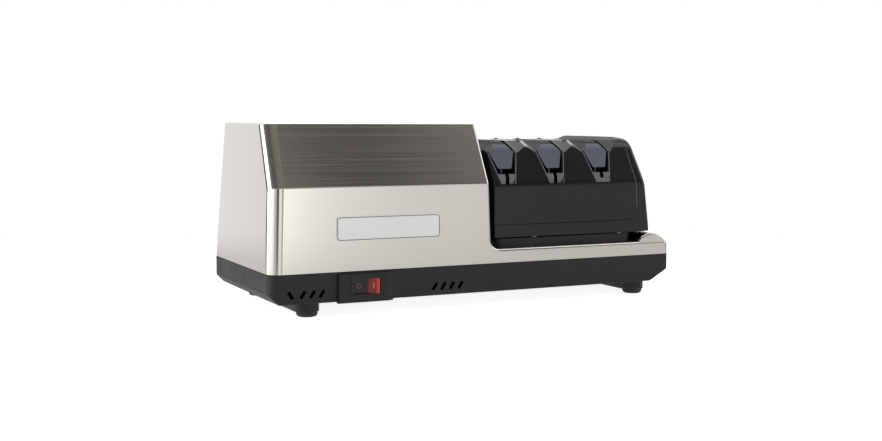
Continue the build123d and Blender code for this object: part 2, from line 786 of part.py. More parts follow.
def stator_stack():
    """Laminations with open slots for the windings and holes for the tie bolts."""
    x0, x1 = stator_x0(), stator_x1()
    stack = rod_x(stator_radius, x0, x1) - rod_x(stator_bore, x0, x1)
    slot = block(x0, x1, shaft_y - slot_width / 2, shaft_y + slot_width / 2,
                 shaft_z + slot_inner, shaft_z + slot_outer)
    mouth = block(x0, x1, shaft_y - slot_width / 6, shaft_y + slot_width / 6,
                  shaft_z + stator_bore - 1, shaft_z + slot_inner)
    for cut in around_shaft(slot + mouth, slot_count):
        stack = stack - cut
    for hole in around_shaft(rod_x(tie_bolt_radius + seat_gap, x0, x1, z=shaft_z + tie_bolt_circle), 4, 45):
        stack = stack - hole
    return stack


def windings():
    """Copper windings: bars in the slots, joined by the end turns."""
    x0, x1 = stator_x0(), stator_x1()
    low, high = slot_inner + winding_gap, slot_outer - winding_gap
    bar = block(x0 - 1, x1 + 1, shaft_y - slot_width / 2 + winding_gap, shaft_y + slot_width / 2 - winding_gap,
                shaft_z + low, shaft_z + high)
    turns = []
    for start, end in ((x0 - winding_overhang, x0 - winding_gap), (x1 + winding_gap, x1 + winding_overhang)):
        bevel = (high - low) / 4
        turns.append(turned_x([(start, low + bevel), (start, high - bevel), (start + bevel, high),
                               (end - bevel, high), (end, high - bevel), (end, low + bevel),
                               (end - bevel, low), (start + bevel, low)]))
    return joined(turns + around_shaft(bar, slot_count))


def end_bell(face_x, outward):
    """Cast end bell: flange on the laminations, windowed cup, boss for the bush."""
    s = outward
    cup_end = face_x + s * bell_depth
    boss_end = cup_end + s * bell_boss_length
    bell = turned_x([(face_x, bell_radius - bell_wall), (face_x, stator_radius),
                     (face_x + s * bell_flange, stator_radius), (face_x + s * bell_flange, bell_radius),
                     (cup_end - s * 3, bell_radius), (cup_end, bell_radius - 3), (cup_end, bell_boss_radius),
                     (boss_end, bell_boss_radius), (boss_end, bush_outer_radius),
                     (cup_end - s * bell_wall, bush_outer_radius),
                     (cup_end - s * bell_wall, bell_radius - bell_wall)])
    window = block(min(face_x + s * (bell_flange + 3), cup_end - s * 5), max(face_x + s * (bell_flange + 3),
                   cup_end - s * 5), shaft_y - bell_window_width / 2, shaft_y + bell_window_width / 2,
                   shaft_z + bell_radius - bell_wall - 1, shaft_z + bell_radius + 1)
    for cut in around_shaft(window, bell_window_count):
        bell = bell - cut
    hole = rod_x(tie_bolt_radius + seat_gap, min(face_x, face_x + s * bell_flange),
                 max(face_x, face_x + s * bell_flange), z=shaft_z + tie_bolt_circle)
    for cut in around_shaft(hole, 4, 45):
        bell = bell - cut
    return bell


def motor_bush(face_x, outward):
    """Sintered bush in an end bell's boss."""
    inner_end = face_x + outward * (bell_depth - bell_wall)
    outer_end = face_x + outward * (bell_depth + bell_boss_length)
    x0, x1 = min(inner_end, outer_end), max(inner_end, outer_end)
    return rod_x(bush_outer_radius, x0, x1) - rod_x(motor_shaft_radius + running_gap, x0, x1)


def tie_bolts():
    """Four long bolts that clamp both end bells; the lower two also hold the bracket's arms."""
    bolts = []
    for angle in (45, 135, 225, 315):
        grip = bracket_sheet if cos(radians(angle)) < 0 else 0
        x0 = stator_x0() - bell_flange - grip
        x1 = stator_x1() + bell_flange + grip
        z = shaft_z + tie_bolt_circle
        bolt = (rod_x(tie_bolt_radius, x0, x1, z=z)
                + rod_x(tie_bolt_head, x0 - tie_bolt_head_height, x0, z=z)
                + rod_x(tie_bolt_head, x1, x1 + tie_bolt_head_height, z=z))
        bolts += around_shaft(bolt, 1, angle)
    return group(bolts)


def coupling_face_x():
    """Where the driven half's jaws start, just inside the cover's port."""
    return module_left + module_wall - fit_gap - coupling_hub * 0.75


def motor_shaft():
    start = fan_left_x() - shaft_tail
    end = coupling_face_x() - jaw_length - jaw_gap
    shaft = rod_x(motor_shaft_radius, start, end)
    return chamfer(shaft.edges().filter_by(GeomType.CIRCLE), 0.6)


def rotor_core():
    """Squirrel-cage rotor: laminated core between two cast end rings."""
    x0, x1 = stator_x0(), stator_x1()
    core_radius = stator_bore - air_gap
    ring = rotor_ring_length
    return turned_x([(x0 - ring, motor_shaft_radius), (x0 - ring, rotor_ring_radius), (x0, rotor_ring_radius),
                     (x0, core_radius), (x1, core_radius), (x1, rotor_ring_radius),
                     (x1 + ring, rotor_ring_radius), (x1 + ring, motor_shaft_radius)])


def cooling_fan():
    """Radial fan on the shaft's tail."""
    x0 = fan_left_x()
    x1 = x0 + fan_length
    hub = turned_x([(x0, motor_shaft_radius), (x0, fan_hub_radius), (x1 - fan_plate, fan_hub_radius),
                    (x1 - fan_plate, fan_radius), (x1, fan_radius), (x1, motor_shaft_radius)])
    blade = block(x0 + 2, x1 - fan_plate / 2, shaft_y - fan_blade / 2, shaft_y + fan_blade / 2,
                  shaft_z + fan_hub_radius - 1, shaft_z + fan_radius - 0.5)
    return joined([hub] + around_shaft(blade, fan_blade_count))


def jaws(x0, x1, start):
    """Three coupling jaws between two radii."""
    ring = rod_x(coupling_radius, x0, x1) - rod_x(jaw_inner_radius, x0, x1)
    half = jaw_angle / 2
    reach = 2 * coupling_radius
    wedge_points = [(0, 0), (-reach * sin(radians(half)), reach * cos(radians(half))),
                    (reach * sin(radians(half)), reach * cos(radians(half)))]
    wedge = along_x([(shaft_y + y, shaft_z + z) for y, z in wedge_points], x0, x1)
    return [ring & piece for piece in around_shaft(wedge, 3, start)]


def drive_coupling():
    """Driving half on the motor shaft, its jaws pointing to the module."""
    face = coupling_face_x() - jaw_length - jaw_gap
    hub = rod_x(coupling_radius, face - coupling_hub, face) - rod_x(motor_shaft_radius, face - coupling_hub, face)
    cap = rod_x(coupling_radius, face, face + 1.0)
    return joined([hub, cap] + jaws(face, face + jaw_length, 0))


def driven_coupling():
    """Driven half on the disc shaft, its jaws between those of the driving half."""
    face = coupling_face_x()
    hub_end = module_left + module_wall - fit_gap
    hub = rod_x(coupling_radius, face, hub_end) - rod_x(disc_shaft_radius, face + 2, hub_end)
    return joined([hub] + jaws(face - jaw_length + 1, face, 60))


def drive_port_ring():
    """Moulded ring that lines the hole in the cover's right wall."""
    wall_x = motor_right - right_lean * (shaft_height - tray_height) / (cover_height - tray_height)
    slope = right_lean / (cover_height - tray_height)
    inner_x = wall_x - sheet - slope * port_ring_flange
    collar = rod_x(port_radius - seat_gap, inner_x - port_ring_thickness, wall_x + 0.8)
    flange = rod_x(port_ring_flange, inner_x - port_ring_thickness, inner_x - seat_gap)
    return collar + flange - rod_x(port_ring_bore, inner_x - 9, wall_x + 9)


def motor_bracket():
    """Folded steel bracket: plate on the isolators, two cradle arms outside the end bells."""
    plate_z = floor_top_z + isolator_boss_height + isolator_height
    plate = block(bracket_left, bracket_right, shaft_y - bracket_half_depth, shaft_y + bracket_half_depth,
                  plate_z, plate_z + bracket_sheet)
    arms = []
    for x0 in (bracket_left, bracket_right - bracket_sheet):
        arm = block(x0, x0 + bracket_sheet, shaft_y - bracket_half_depth, shaft_y + bracket_half_depth,
                    plate_z, plate_z + cradle_height)
        arms.append(arm - rod_x(bell_radius + seat_gap, x0, x0 + bracket_sheet))
    bracket = joined([plate] + arms)
    bracket = fillet([e for e in edges_where(bracket, lambda p, e: abs(p.Z - plate_z) < 0.01)
                      if abs(e.tangent_at(0.5).Y) > 0.9], bracket_sheet - 0.5)
    for angle in (135, 225):
        hole = rod_x(tie_bolt_radius + seat_gap, bracket_left, bracket_right, z=shaft_z + tie_bolt_circle)
        bracket = bracket - around_shaft(hole, 1, angle)[0]
    for x, y in isolator_places():
        bracket = bracket - rod_z(bracket_screw_radius + seat_gap, plate_z - 1, plate_z + 5, x, y)
    return bracket


def motor_isolators():
    """Rubber washers between the bracket and the base."""
    z0 = floor_top_z + isolator_boss_height
    washers = []
    for x, y in isolator_places():
        washer = rod_z(isolator_radius, z0, z0 + isolator_height, x, y)
        washers.append(washer - rod_z(bracket_screw_radius + seat_gap, z0, z0 + isolator_height, x, y))
    return group(washers)


def bracket_screws():
    """Screws down through the bracket and isolators into the base."""
    plate_top = floor_top_z + isolator_boss_height + isolator_height + bracket_sheet
    screws = []
    for x, y in isolator_places():
        shank = rod_z(bracket_screw_radius, floor_under_z, plate_top, x, y)
        screws.append(shank + rod_z(screw_head_radius, plate_top, plate_top + screw_head_height, x, y))
    return group(screws)


# ================================================================ module
def module_form(inset):
    """The module's outside, or a skin further in by inset."""
    top = seam_z + module_top_height
    bend = seam_z + module_bend_height
    setback = module_slope * (top - bend)
    side_view = [(module_front, module_bottom_z), (module_front, bend), (module_front + setback, top),
                 (module_back - setback, top), (module_back, bend), (module_back, module_bottom_z)]
    right_low = module_right
    front_view = [(module_left, module_bottom_z), (module_left, top),
                  (right_low - module_right_lean * (top - module_bottom_z), top), (right_low, module_bottom_z)]
    side_face = make_face(Plane.YZ * Polyline(*side_view, close=True))
    front_face = make_face(Plane.XZ * Polyline(*front_view, close=True))
    if inset:
        side_face = offset(side_face, amount=-inset, kind=Kind.INTERSECTION)
        front_face = offset(front_face, amount=-inset, kind=Kind.INTERSECTION)
    form = (extrude(side_face, amount=length, both=True, dir=(1, 0, 0))
            & extrude(front_face, amount=length, both=True, dir=(0, 1, 0)))
    level = [e for e in form.edges() if abs(e.tangent_at(0.5).X) > 0.99]
    form = fillet([e for e in level if abs(e.position_at(0.5).Z - bend) < 5], module_bend_radius - inset)
    level = [e for e in form.edges() if abs(e.tangent_at(0.5).X) > 0.99]
    form = fillet([e for e in level if e.position_at(0.5).Z > top - inset - 0.01], module_top_radius - inset)

    def right_end(p, edge):
        across = p.X > right_low - module_right_lean * (p.Z - module_bottom_z) - 2 * inset - 0.5
        return across and p.Z > module_bottom_z + inset + 0.01

    return fillet(edges_where(form, right_end), module_end_radius - inset)


def panel_prism(grow):
    """The region, seen from the front, that belongs to the module's cover."""
    low = seam_z + panel_bottom_height - grow
    high = seam_z + module_top_height + 20
    right_low = module_right - panel_end_inset + grow
    points = [(module_left - 20, low), (right_low, low),
              (right_low - panel_right_lean * (high - low), high), (module_left - 20, high)]
    prism = along_y(points, module_front - depth, module_back + depth)
    corner = edges_where(prism, lambda p, e: abs(e.tangent_at(0.5).Y) > 0.9 and p.Z < low + 1 and p.X > 0)
    return fillet(corner, panel_corner + grow)


def notch_prism(x, gap, floor_rise=0.0, ceiling=40.0):
    """Keystone opening of one stage, running from front to back."""
    low = seam_z + notch_floor_height + floor_rise
    shoulder = seam_z + notch_shoulder_height
    lean = (notch_half_top - notch_half_bottom) / (notch_shoulder_height - notch_floor_height)
    half_low = notch_half_bottom + lean * floor_rise - gap
    half_high = notch_half_top - gap
    points = [(x - half_low, low), (x + half_low, low), (x + half_high, shoulder),
              (x + half_high, shoulder + ceiling), (x - half_high, shoulder + ceiling), (x - half_high, shoulder)]
    return along_y(points, module_front - depth, module_back + depth)


def saddle(x, from_back):
    """Lead-in hollow above a notch, rising towards the module's middle."""
    rim = seam_z + saddle_rim_height
    peak = seam_z + saddle_peak_height
    slope = (peak - rim) / (stage_pitch / 2 - saddle_half_width)
    right_slope = saddle_last_slope if x == stage_x[-1] else slope
    rim_y = module_slope * (saddle_rim_height - module_bend_height)
    start = -depth / 4
    drop = saddle_rise * (rim_y - start)
    points = [(x - saddle_half_width - depth / slope, rim + depth), (x - saddle_half_width, rim),
              (x + saddle_half_width, rim), (x + saddle_half_width + depth / right_slope, rim + depth)]
    side = -1 if from_back else 1
    y = module_back - start if from_back else module_front + start
    face = make_face(Plane(origin=(0, y, -drop), x_dir=(1, 0, 0), z_dir=(0, -1, 0))
                     * Polyline(*points, close=True))
    return extrude(face, amount=depth, dir=Vector(0, side, saddle_rise))


def crest_cut():
    """Room above the lower top between the stages, up to the last saddle's flank."""
    rim = seam_z + saddle_rim_height
    crest = seam_z + crest_height
    x1 = stage_x[-1] + saddle_half_width + (crest - rim) / saddle_last_slope
    return along_y([(module_left - 1, crest), (x1, crest), (x1 + depth / saddle_last_slope, crest + depth),
                    (module_left - 1, crest + depth)], front, back)


def saddles(lower=0.0):
    cuts = [saddle(x, from_back) for x in stage_x for from_back in (False, True)] + [crest_cut()]
    return [Pos(0, 0, -lower) * cut for cut in cuts]


def knobs(x):
    """Two round knobs on a crest, one near the front and one near the back."""
    z = seam_z + knob_top_height - knob_radius
    return [Pos(x, y, z) * Sphere(knob_radius)
            for y in (module_front + knob_inset, module_back - knob_inset)]


def module_post_places():
    xs = (module_left + module_post_inset_x[0], module_right - module_post_inset_x[1])
    return [(x, y) for x in xs
            for y in (module_front + module_post_inset, module_back - module_post_inset)]


def module_floor_top():
    return module_bottom_z + module_wall + 0.5


def module_cover():
    """Moulded cover: raised front and back panels, slopes, top, and the notches of the stages."""
    outside = module_form(0)
    left_rim = edges_where(outside, lambda p, e: abs(p.X - module_left) < 0.01 and p.Z > module_bottom_z + 1)
    outside = fillet(left_rim, module_left_edge)
    for cut in saddles():
        outside = outside - cut
    inside = module_form(module_wall)
    for cut in saddles(module_wall):
        inside = inside - cut
    cover = (outside - inside) & panel_prism(0)
    for x in stage_x[:-1]:
        for knob in knobs(x + stage_pitch / 2):
            cover = cover + knob
    for x in stage_x:
        cover = cover - notch_prism(x, 0)
    post_top = seam_z + module_bend_height
    for x, y in module_post_places():
        post = rod_z(module_post_radius, module_floor_top() + fit_gap, post_top, x, y)
        cover = cover + (post & module_form(1))
        cover = cover - rod_z(small_screw_radius + seat_gap, module_bottom_z,
                              module_floor_top() + module_screw_depth + screw_tip_gap, x, y)
    return cover - rod_x(coupling_radius + 2, module_left - 1, module_left + module_wall + 1)


def rail_places():
    return [front + rail_front, front + rail_front + rail_spread]


def rail_ends():
    return module_left + rail_inset, deck_right() - deck_end


def deck_right():
    return right - ridge_end_inset - ridge_width - deck_ridge_gap


def rail_head_z():
    return module_bottom_z + rail_head_bottom


def rail_tunnels():
    """Blocks on the module's floor that wrap the rails, and the grooves through them."""
    half = rail_head / 2 + slide_gap + tunnel_wall
    groove_top = rail_head_z() + rail_head_height + slide_gap
    x1 = rail_ends()[1] + slide_gap
    tunnels, grooves = [], []
    for y in rail_places():
        tunnels.append(block(module_left + panel_stand + 1, x1 + tunnel_wall, y - half, y + half,
                             module_bottom_z + 1, groove_top + tunnel_wall))
        grooves.append(block(module_left - 1, x1, y - rail_head / 2 - slide_gap, y + rail_head / 2 + slide_gap,
                             rail_head_z() - slide_gap, groove_top))
        grooves.append(block(module_left - 1, x1, y - rail_web / 2 - slide_gap, y + rail_web / 2 + slide_gap,
                             module_bottom_z - 1, rail_head_z()))
    return tunnels, grooves


def bush_pedestals():
    """Walls on the module's floor that hold the disc shaft's bushes."""
    pedestals = []
    for x0 in (left_bush_x(), right_bush_x()):
        wall = block(x0, x0 + disc_bush_length, shaft_y - 16, shaft_y + 16, module_bottom_z + 1, shaft_z)
        pedestals.append(wall + rod_x(16, x0, x0 + disc_bush_length))
    return pedestals


def right_bush_x():
    return module_right - right_bush_inset


def left_bush_x():
    return module_left + module_wall + fit_gap


def module_base():
    """Moulded lower half: floor, skirt, right end, rail tunnels and bush pedestals."""
    skin = panel_stand
    shell = module_form(skin) - (module_form(skin + module_wall)
                                 & block(left, right, front, back, module_floor_top(), top_z))
    lip_skin = module_wall + fit_gap
    lip = (module_form(lip_skin) - module_form(lip_skin + module_wall / 2)) - panel_prism(-panel_lip)
    lip = lip & block(left, right, front, back, module_floor_top() - 1, top_z)
    lip = lip - Pos(0, 0, -lip_skin) * crest_cut()
    bottom = shell - panel_prism(panel_gap) + lip
    for x in stage_x:
        bottom = bottom - notch_prism(x, -1.0)
    tunnels, grooves = rail_tunnels()
    for piece in tunnels + bush_pedestals():
        bottom = bottom + piece
    for cut in grooves:
        bottom = bottom - cut
    bottom = bottom - rod_x(disc_bush_radius, module_left, right_bush_x() + disc_bush_length)
    for x, y in module_post_places():
        bottom = bottom - rod_z(small_screw_radius + seat_gap, module_bottom_z - 1, module_floor_top() + 1, x, y)
        bottom = bottom - rod_z(small_head_radius + seat_gap, module_bottom_z - 1,
                                module_bottom_z + screw_head_height, x, y)
        bottom = bottom - rod_z(module_post_radius + fit_gap, module_floor_top(), seam_z + module_bend_height, x, y)
    port = rod_x(coupling_radius + 2, module_left - 1, left_bush_x())
    return bottom - port


def module_screws():
    screws = []
    for x, y in module_post_places():
        screws.append(headed_screw(x, y, module_bottom_z, module_floor_top() + module_screw_depth,
                                   small_screw_radius, small_head_radius))
    return group(screws)


def docking_deck():
    """Moulded deck on the tray, under the module, with channels for the rails."""
    rail_x0, rail_x1 = rail_ends()
    deck = block(module_left + deck_inset_left, deck_right(), module_front + deck_inset, module_back - deck_inset, tray_z,
                 module_bottom_z - deck_gap)
    upright = [e for e in deck.edges() if abs(e.tangent_at(0.5).Z) > 0.9]
    deck = fillet(upright, deck_corner)
    for y in rail_places():
        half = rail_foot / 2 + fit_gap
        deck = deck - block(rail_x0 - fit_gap, rail_x1 + fit_gap, y - half, y + half, tray_z - 1,
                            module_bottom_z)
    return deck


def module_rails():
    """Two headed rails on the tray, on which the module slides."""
    x0, x1 = rail_ends()
    rails = []
    for y in rail_places():
        foot = block(x0, x1, y - rail_foot / 2, y + rail_foot / 2, tray_z, tray_z + rail_foot_height)
        web = block(x0, x1, y - rail_web / 2, y + rail_web / 2, tray_z, rail_head_z() + 1)
        head = block(x0, x1, y - rail_head / 2, y + rail_head / 2, rail_head_z(), rail_head_z() + rail_head_height)
        rails.append(foot + web + head)
    return group(rails)


# ================================================================ stages
def trough_half(z):
    """Half width inside a trough at a height."""
    lean = (notch_half_top - notch_half_bottom) / (notch_shoulder_height - notch_floor_height)
    at_wall = notch_half_bottom + lean * (z - seam_z - notch_floor_height)
    return min(at_wall, notch_half_top) - trough_gap - trough_wall


def pad_top():
    return seam_z + notch_floor_height + trough_gap + pad_height


def stage_trough(x, closed_front):
    """V-shaped trough of one stage: side walls, pads either side of the blade slot, and a spine."""
    outer = notch_prism(x, trough_gap, trough_gap, 2.0)
    inner = notch_prism(x, trough_gap + trough_wall, trough_gap, 2.0)
    floor_z = seam_z + notch_floor_height + trough_gap
    pad_band = block(x - 30, x + 30, module_front + pad_recess + 2, module_back - pad_recess - 2,
                     floor_z, floor_z + pad_height)
    pads = outer & pad_band
    slot = block(x - pad_gap / 2, x + pad_gap / 2, module_front - 5, module_back + 5, floor_z - 5,
                 floor_z + pad_height + 5)
    trough = (outer - inner) + (pads - slot)
    if closed_front:
        ramp = along_y([(x - 20, floor_z), (x + 20, floor_z), (x + 20, floor_z + 2), (x - 2, floor_z + 4),
                        (x - 20, floor_z + 14)], module_front + pad_recess, module_front + spine_inset - 3)
        trough = trough + (ramp & outer)
    trough = trough & module_form(trough_recess)
    for cut in saddles(trough_recess):
        trough = trough - cut
    spine = block(x - spine_thickness / 2, x + spine_thickness / 2, module_front + spine_inset,
                  module_back - spine_inset, floor_z - tie_bar_height, floor_z + spine_height)
    bead = rod_y(bead_radius, module_front + spine_inset, module_back - spine_inset, x, floor_z + spine_height)
    trough = trough + spine + bead
    for side in (-1, 1):
        y = shaft_y + side * tie_bar_offset
        trough = trough + block(x - notch_half_bottom + 1, x + notch_half_bottom - 1, y - tie_bar_length / 2,
                                y + tie_bar_length / 2, floor_z - tie_bar_height, floor_z + 0.5)
    pocket = rod_x(disc_radius + disc_pocket_gap, x - 30, x + 30)
    return trough - pocket


def guide_magnets():
    """Bar magnets on the outer sides of the troughs."""
    lean = (notch_half_top - notch_half_bottom) / (notch_shoulder_height - notch_floor_height)
    half = notch_half_bottom + lean * magnet_rise - trough_gap
    magnets = []
    for x in stage_x:
        for side in (-1, 1):
            bar = Box(magnet_thickness, magnet_length, magnet_height,
                      align=(Align.MIN if side > 0 else Align.MAX, Align.CENTER, Align.CENTER))
            tilt = side * lean * 180 / pi
            magnets.append(Pos(x + side * (half + seat_gap), shaft_y, seam_z + notch_floor_height + magnet_rise)
                           * Rot(0, tilt, 0) * bar)
    return group(magnets)


def guide_spring(x):
    """Guide between a stage's two slots: keystone face, arched top, hollow underneath."""
    low = pad_top() + guide_over_pads
    wide = low + guide_flare_height
    half_low = trough_half(low) - slot_low
    half_wide = trough_half(wide) - slot_high
    outline = [(half_low, low), (half_wide, wide), (half_wide, wide + guide_side_height),
               (guide_crown_half, seam_z + guide_crown_height), (guide_top_half, seam_z + guide_top_height)]
    body = along_y([(x + u, z) for u, z in outline] + [(x - u, z) for u, z in reversed(outline)],
                   module_front, module_back)
    body = body & module_form(guide_recess)
    for knob in knobs(x):
        body = body + knob
    hollow_low = half_low - guide_wall
    hollow_high = half_wide - guide_wall - 0.5
    hollow = along_y([(x - hollow_low, low - 1), (x + hollow_low, low - 1), (x + hollow_high, wide - 1),
                      (x - hollow_high, wide - 1)],
                     module_front + spine_inset + 6, module_back - spine_inset - 6)
    body = body - hollow
    bead_z = seam_z + notch_floor_height + trough_gap + spine_height
    socket = rod_y(bead_radius + fit_gap, module_front + spine_inset - fit_gap, module_back - spine_inset + fit_gap,
                   x, bead_z)
    throat = along_y([(x - spine_thickness / 2 - 0.4, bead_z), (x + spine_thickness / 2 + 0.4, bead_z),
                      (x + spine_thickness / 2 + 0.8, low - 1), (x - spine_thickness / 2 - 0.8, low - 1)],
                     module_front + spine_inset - fit_gap, module_back - spine_inset + fit_gap)
    return body - socket - throat


# ================================================================ discs and their shaft
def disc(x, side, flexible):
    """Cone-faced sharpening disc on its hub; side is -1 for the left one of a stage."""
    s = side
    inner = x + s * disc_inner_offset
    rim = inner + s * disc_rim
    face = inner + s * (disc_rim + disc_cone_width)
    hub_in = x + s * disc_hub_offset
    hub_out = x + s * disc_hub_end
    back_step = 0.8 if flexible else 1.6
    bore = disc_shaft_radius + running_gap
    return turned_x([(hub_in, bore), (hub_in, disc_hub_radius + 1), (rim + s * 0.6, disc_hub_radius + 3),
                     (inner, disc_radius - back_step), (inner, disc_radius), (rim, disc_radius),
                     (face, disc_cone_radius), (face, disc_hub_radius), (hub_out, disc_hub_radius),
                     (hub_out, bore)])


def disc_shaft():
    shaft = rod_x(disc_shaft_radius, coupling_face_x() + 2, right_bush_x() + disc_bush_length + 4)
    return chamfer(shaft.edges().filter_by(GeomType.CIRCLE).sort_by(Axis.X)[-1], 0.6)


def disc_spring(x):
    """Stack of disc springs, facing by turns, that presses a stage's two discs apart."""
    reach = disc_hub_offset - seat_gap
    pitch = 2 * reach / washer_count
    bore = disc_shaft_radius + seat_gap
    washers = []
    for n in range(washer_count):
        low = x - reach + n * pitch + washer_play
        high = low + pitch - washer_thickness - 2 * washer_play
        inner, outer = (low, high) if n % 2 == 0 else (high, low)
        washers.append(turned_x([(inner, bore), (inner + washer_thickness, bore),
                                 (outer + washer_thickness, spring_outer), (outer, spring_outer)]))
    return group(washers)


def shaft_clips():
    """Snap rings that stop the discs at their outer ends."""
    clips = []
    for x in stage_x:
        for side in (-1, 1):
            start = x + side * (disc_hub_end + seat_gap)
            end = start + side * clip_thickness
            x0, x1 = min(start, end), max(start, end)
            clips.append(rod_x(clip_radius, x0, x1) - rod_x(disc_shaft_radius, x0, x1))
    return group(clips)


def disc_bush(x0):
    return (rod_x(disc_bush_radius, x0, x0 + disc_bush_length)
            - rod_x(disc_shaft_radius + running_gap, x0, x0 + disc_bush_length))


# ================================================================ all nodes
def all_nodes():
    nodes = {
        "stainless_cover": stainless_cover(),
        "nameplate": nameplate(),
        "base": base(),
        "foot_screws": foot_screws(),
        "cover_screws": cover_screws(),
        "tray_posts": tray_posts(),
        "cord_inlet": cord_inlet(),
        "switch_body": switch_body(),
        "rocker": rocker(),
        "motor_bracket": motor_bracket(),
        "motor_isolators": motor_isolators(),
        "bracket_screws": bracket_screws(),
        "stator_stack": stator_stack(),
        "windings": windings(),
        "rear_end_bell": end_bell(stator_x0(), -1),
        "front_end_bell": end_bell(stator_x1(), 1),
        "rear_motor_bush": motor_bush(stator_x0(), -1),
        "front_motor_bush": motor_bush(stator_x1(), 1),
        "tie_bolts": tie_bolts(),
        "motor_shaft": motor_shaft(),
        "rotor_core": rotor_core(),
        "cooling_fan": cooling_fan(),
        "drive_coupling": drive_coupling(),
        "drive_port_ring": drive_port_ring(),
        "docking_deck": docking_deck(),
        "module_rails": module_rails(),
        "module_cover": module_cover(),
        "module_base": module_base(),
        "module_screws": module_screws(),
        "guide_magnets": guide_magnets(),
        "left_disc_bush": disc_bush(left_bush_x()),
        "right_disc_bush": disc_bush(right_bush_x()),
        "disc_shaft": disc_shaft(),
        "driven_coupling": driven_coupling(),
        "shaft_clips": shaft_clips(),
    }
    for place, (x, y) in foot_places().items():
        nodes[f"foot_{place}"] = bare_foot(x, y)
    for n, (name, x) in enumerate(zip(stage_names, stage_x)):
        last = n == stage_count - 1
        nodes[f"{name}_trough"] = stage_trough(x, last)
        nodes[f"{name}_guide_spring"] = guide_spring(x)
        nodes[f"{name}_left_disc"] = disc(x, -1, last)
        nodes[f"{name}_right_disc"] = disc(x, 1, last)
        nodes[f"{name}_disc_spring"] = disc_spring(x)
    return nodes


os.makedirs("parts", exist_ok=True)
for node_name, shape in all_nodes().items():
    export_step(shape, f"parts/{node_name}.step")
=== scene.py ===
"""Finishes, small details, floor, light and camera for an electric knife sharpener."""

import json
from math import cos, pi, radians, sin

import bmesh
import bpy
from mathutils import Matrix, Vector
from mathutils.bvhtree import BVHTree


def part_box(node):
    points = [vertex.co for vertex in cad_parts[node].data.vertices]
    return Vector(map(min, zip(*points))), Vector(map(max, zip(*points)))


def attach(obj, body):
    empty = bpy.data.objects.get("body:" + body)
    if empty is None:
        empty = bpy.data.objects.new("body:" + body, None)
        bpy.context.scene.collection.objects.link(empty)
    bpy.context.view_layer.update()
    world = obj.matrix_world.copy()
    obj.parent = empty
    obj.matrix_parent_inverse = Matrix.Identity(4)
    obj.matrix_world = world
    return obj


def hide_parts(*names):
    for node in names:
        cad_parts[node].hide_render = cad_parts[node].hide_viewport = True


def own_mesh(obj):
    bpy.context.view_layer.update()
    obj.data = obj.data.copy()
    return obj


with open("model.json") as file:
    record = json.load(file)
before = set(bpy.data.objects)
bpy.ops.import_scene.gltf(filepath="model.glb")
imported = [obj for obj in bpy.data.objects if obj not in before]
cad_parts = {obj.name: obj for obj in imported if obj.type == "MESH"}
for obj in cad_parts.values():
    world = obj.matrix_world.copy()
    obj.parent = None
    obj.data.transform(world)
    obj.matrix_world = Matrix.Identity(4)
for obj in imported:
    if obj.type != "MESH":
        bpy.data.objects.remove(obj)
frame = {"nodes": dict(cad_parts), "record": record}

bl_info = {
    "name": "Electric knife sharpener",
    "version": (1, 0, 0),
    "blender": (4, 5, 0),
    "location": "View3D > Sidebar > Sharpener",
    "description": "Dresses an electric knife sharpener with its finishes and small details",
    "category": "Object",
}

NODES = frame["nodes"]
SLOT = {part["node"]: part["material_slot"] for part in frame["record"]["subparts"]}
BODIES = frame["record"]["behaviour"]["bodies"]
BODY = {node: body for body, nodes in BODIES.items() for node in nodes}
STAGES = ("stage_1", "stage_2", "stage_3")
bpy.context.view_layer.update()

# Lengths are in metres.
MERGE_WITHIN = 0.000004     # vertices closer than this are one
SLIVER = 0.000002           # edges shorter than this are taken out
FLAT_WITHIN = 0.6           # degrees between faces that count as one before edges are rounded
CREASE = 28.0               # degrees between faces that meet in a crisp edge
PLATE_INSET = 0.0004        # edge of the nameplate to its outline
PLATE_CORNER = 0.0027       # corner radius of the outline
BAR_LENGTH = 0.0048         # the rocker's upright mark
RING_RADIUS = 0.0022        # the rocker's round mark
BAR_PLACE = 0.0062          # each mark's X from the rocker's middle
RING_PLACE = -0.0066
OUTLINE_LIFT = 0.00004      # thickness of the ink on the nameplate
MARK_LIFT = 0.00006
LINE_LIFT = 0.00003
PROBE_START = -1.0          # Y in front of every piece
LINER_FRONT = 0.5           # least part along Y of a normal that counts as the liner's front
GUIDE_FRONT = 0.3           # the same for a guide spring
GUIDE_TOP = 0.76            # normals that point up more than this belong to the guide's top
END_WALL = 0.7              # normals that point sideways more than this belong to an end wall
LINE_BREAKS = 5             # breaks along a metre of a brushed line
FLOOR_SIZE = 0.6            # half the side of the floor
FLOOR_DROP = 0.0002         # floor to the undersides of the feet
FLOOR_GLOW = 0.86           # light that brings the floor up to white
FLOOR_MIRRORED = 0.74       # level of the floor in reflections

# Points along the right edge of the module's cover panel, X and Z, where a painted highlight runs.
PANEL_EDGE = ((0.16605, 0.0845), (0.1652, 0.1), (0.16455, 0.111), (0.1637, 0.126), (0.1626, 0.1465))

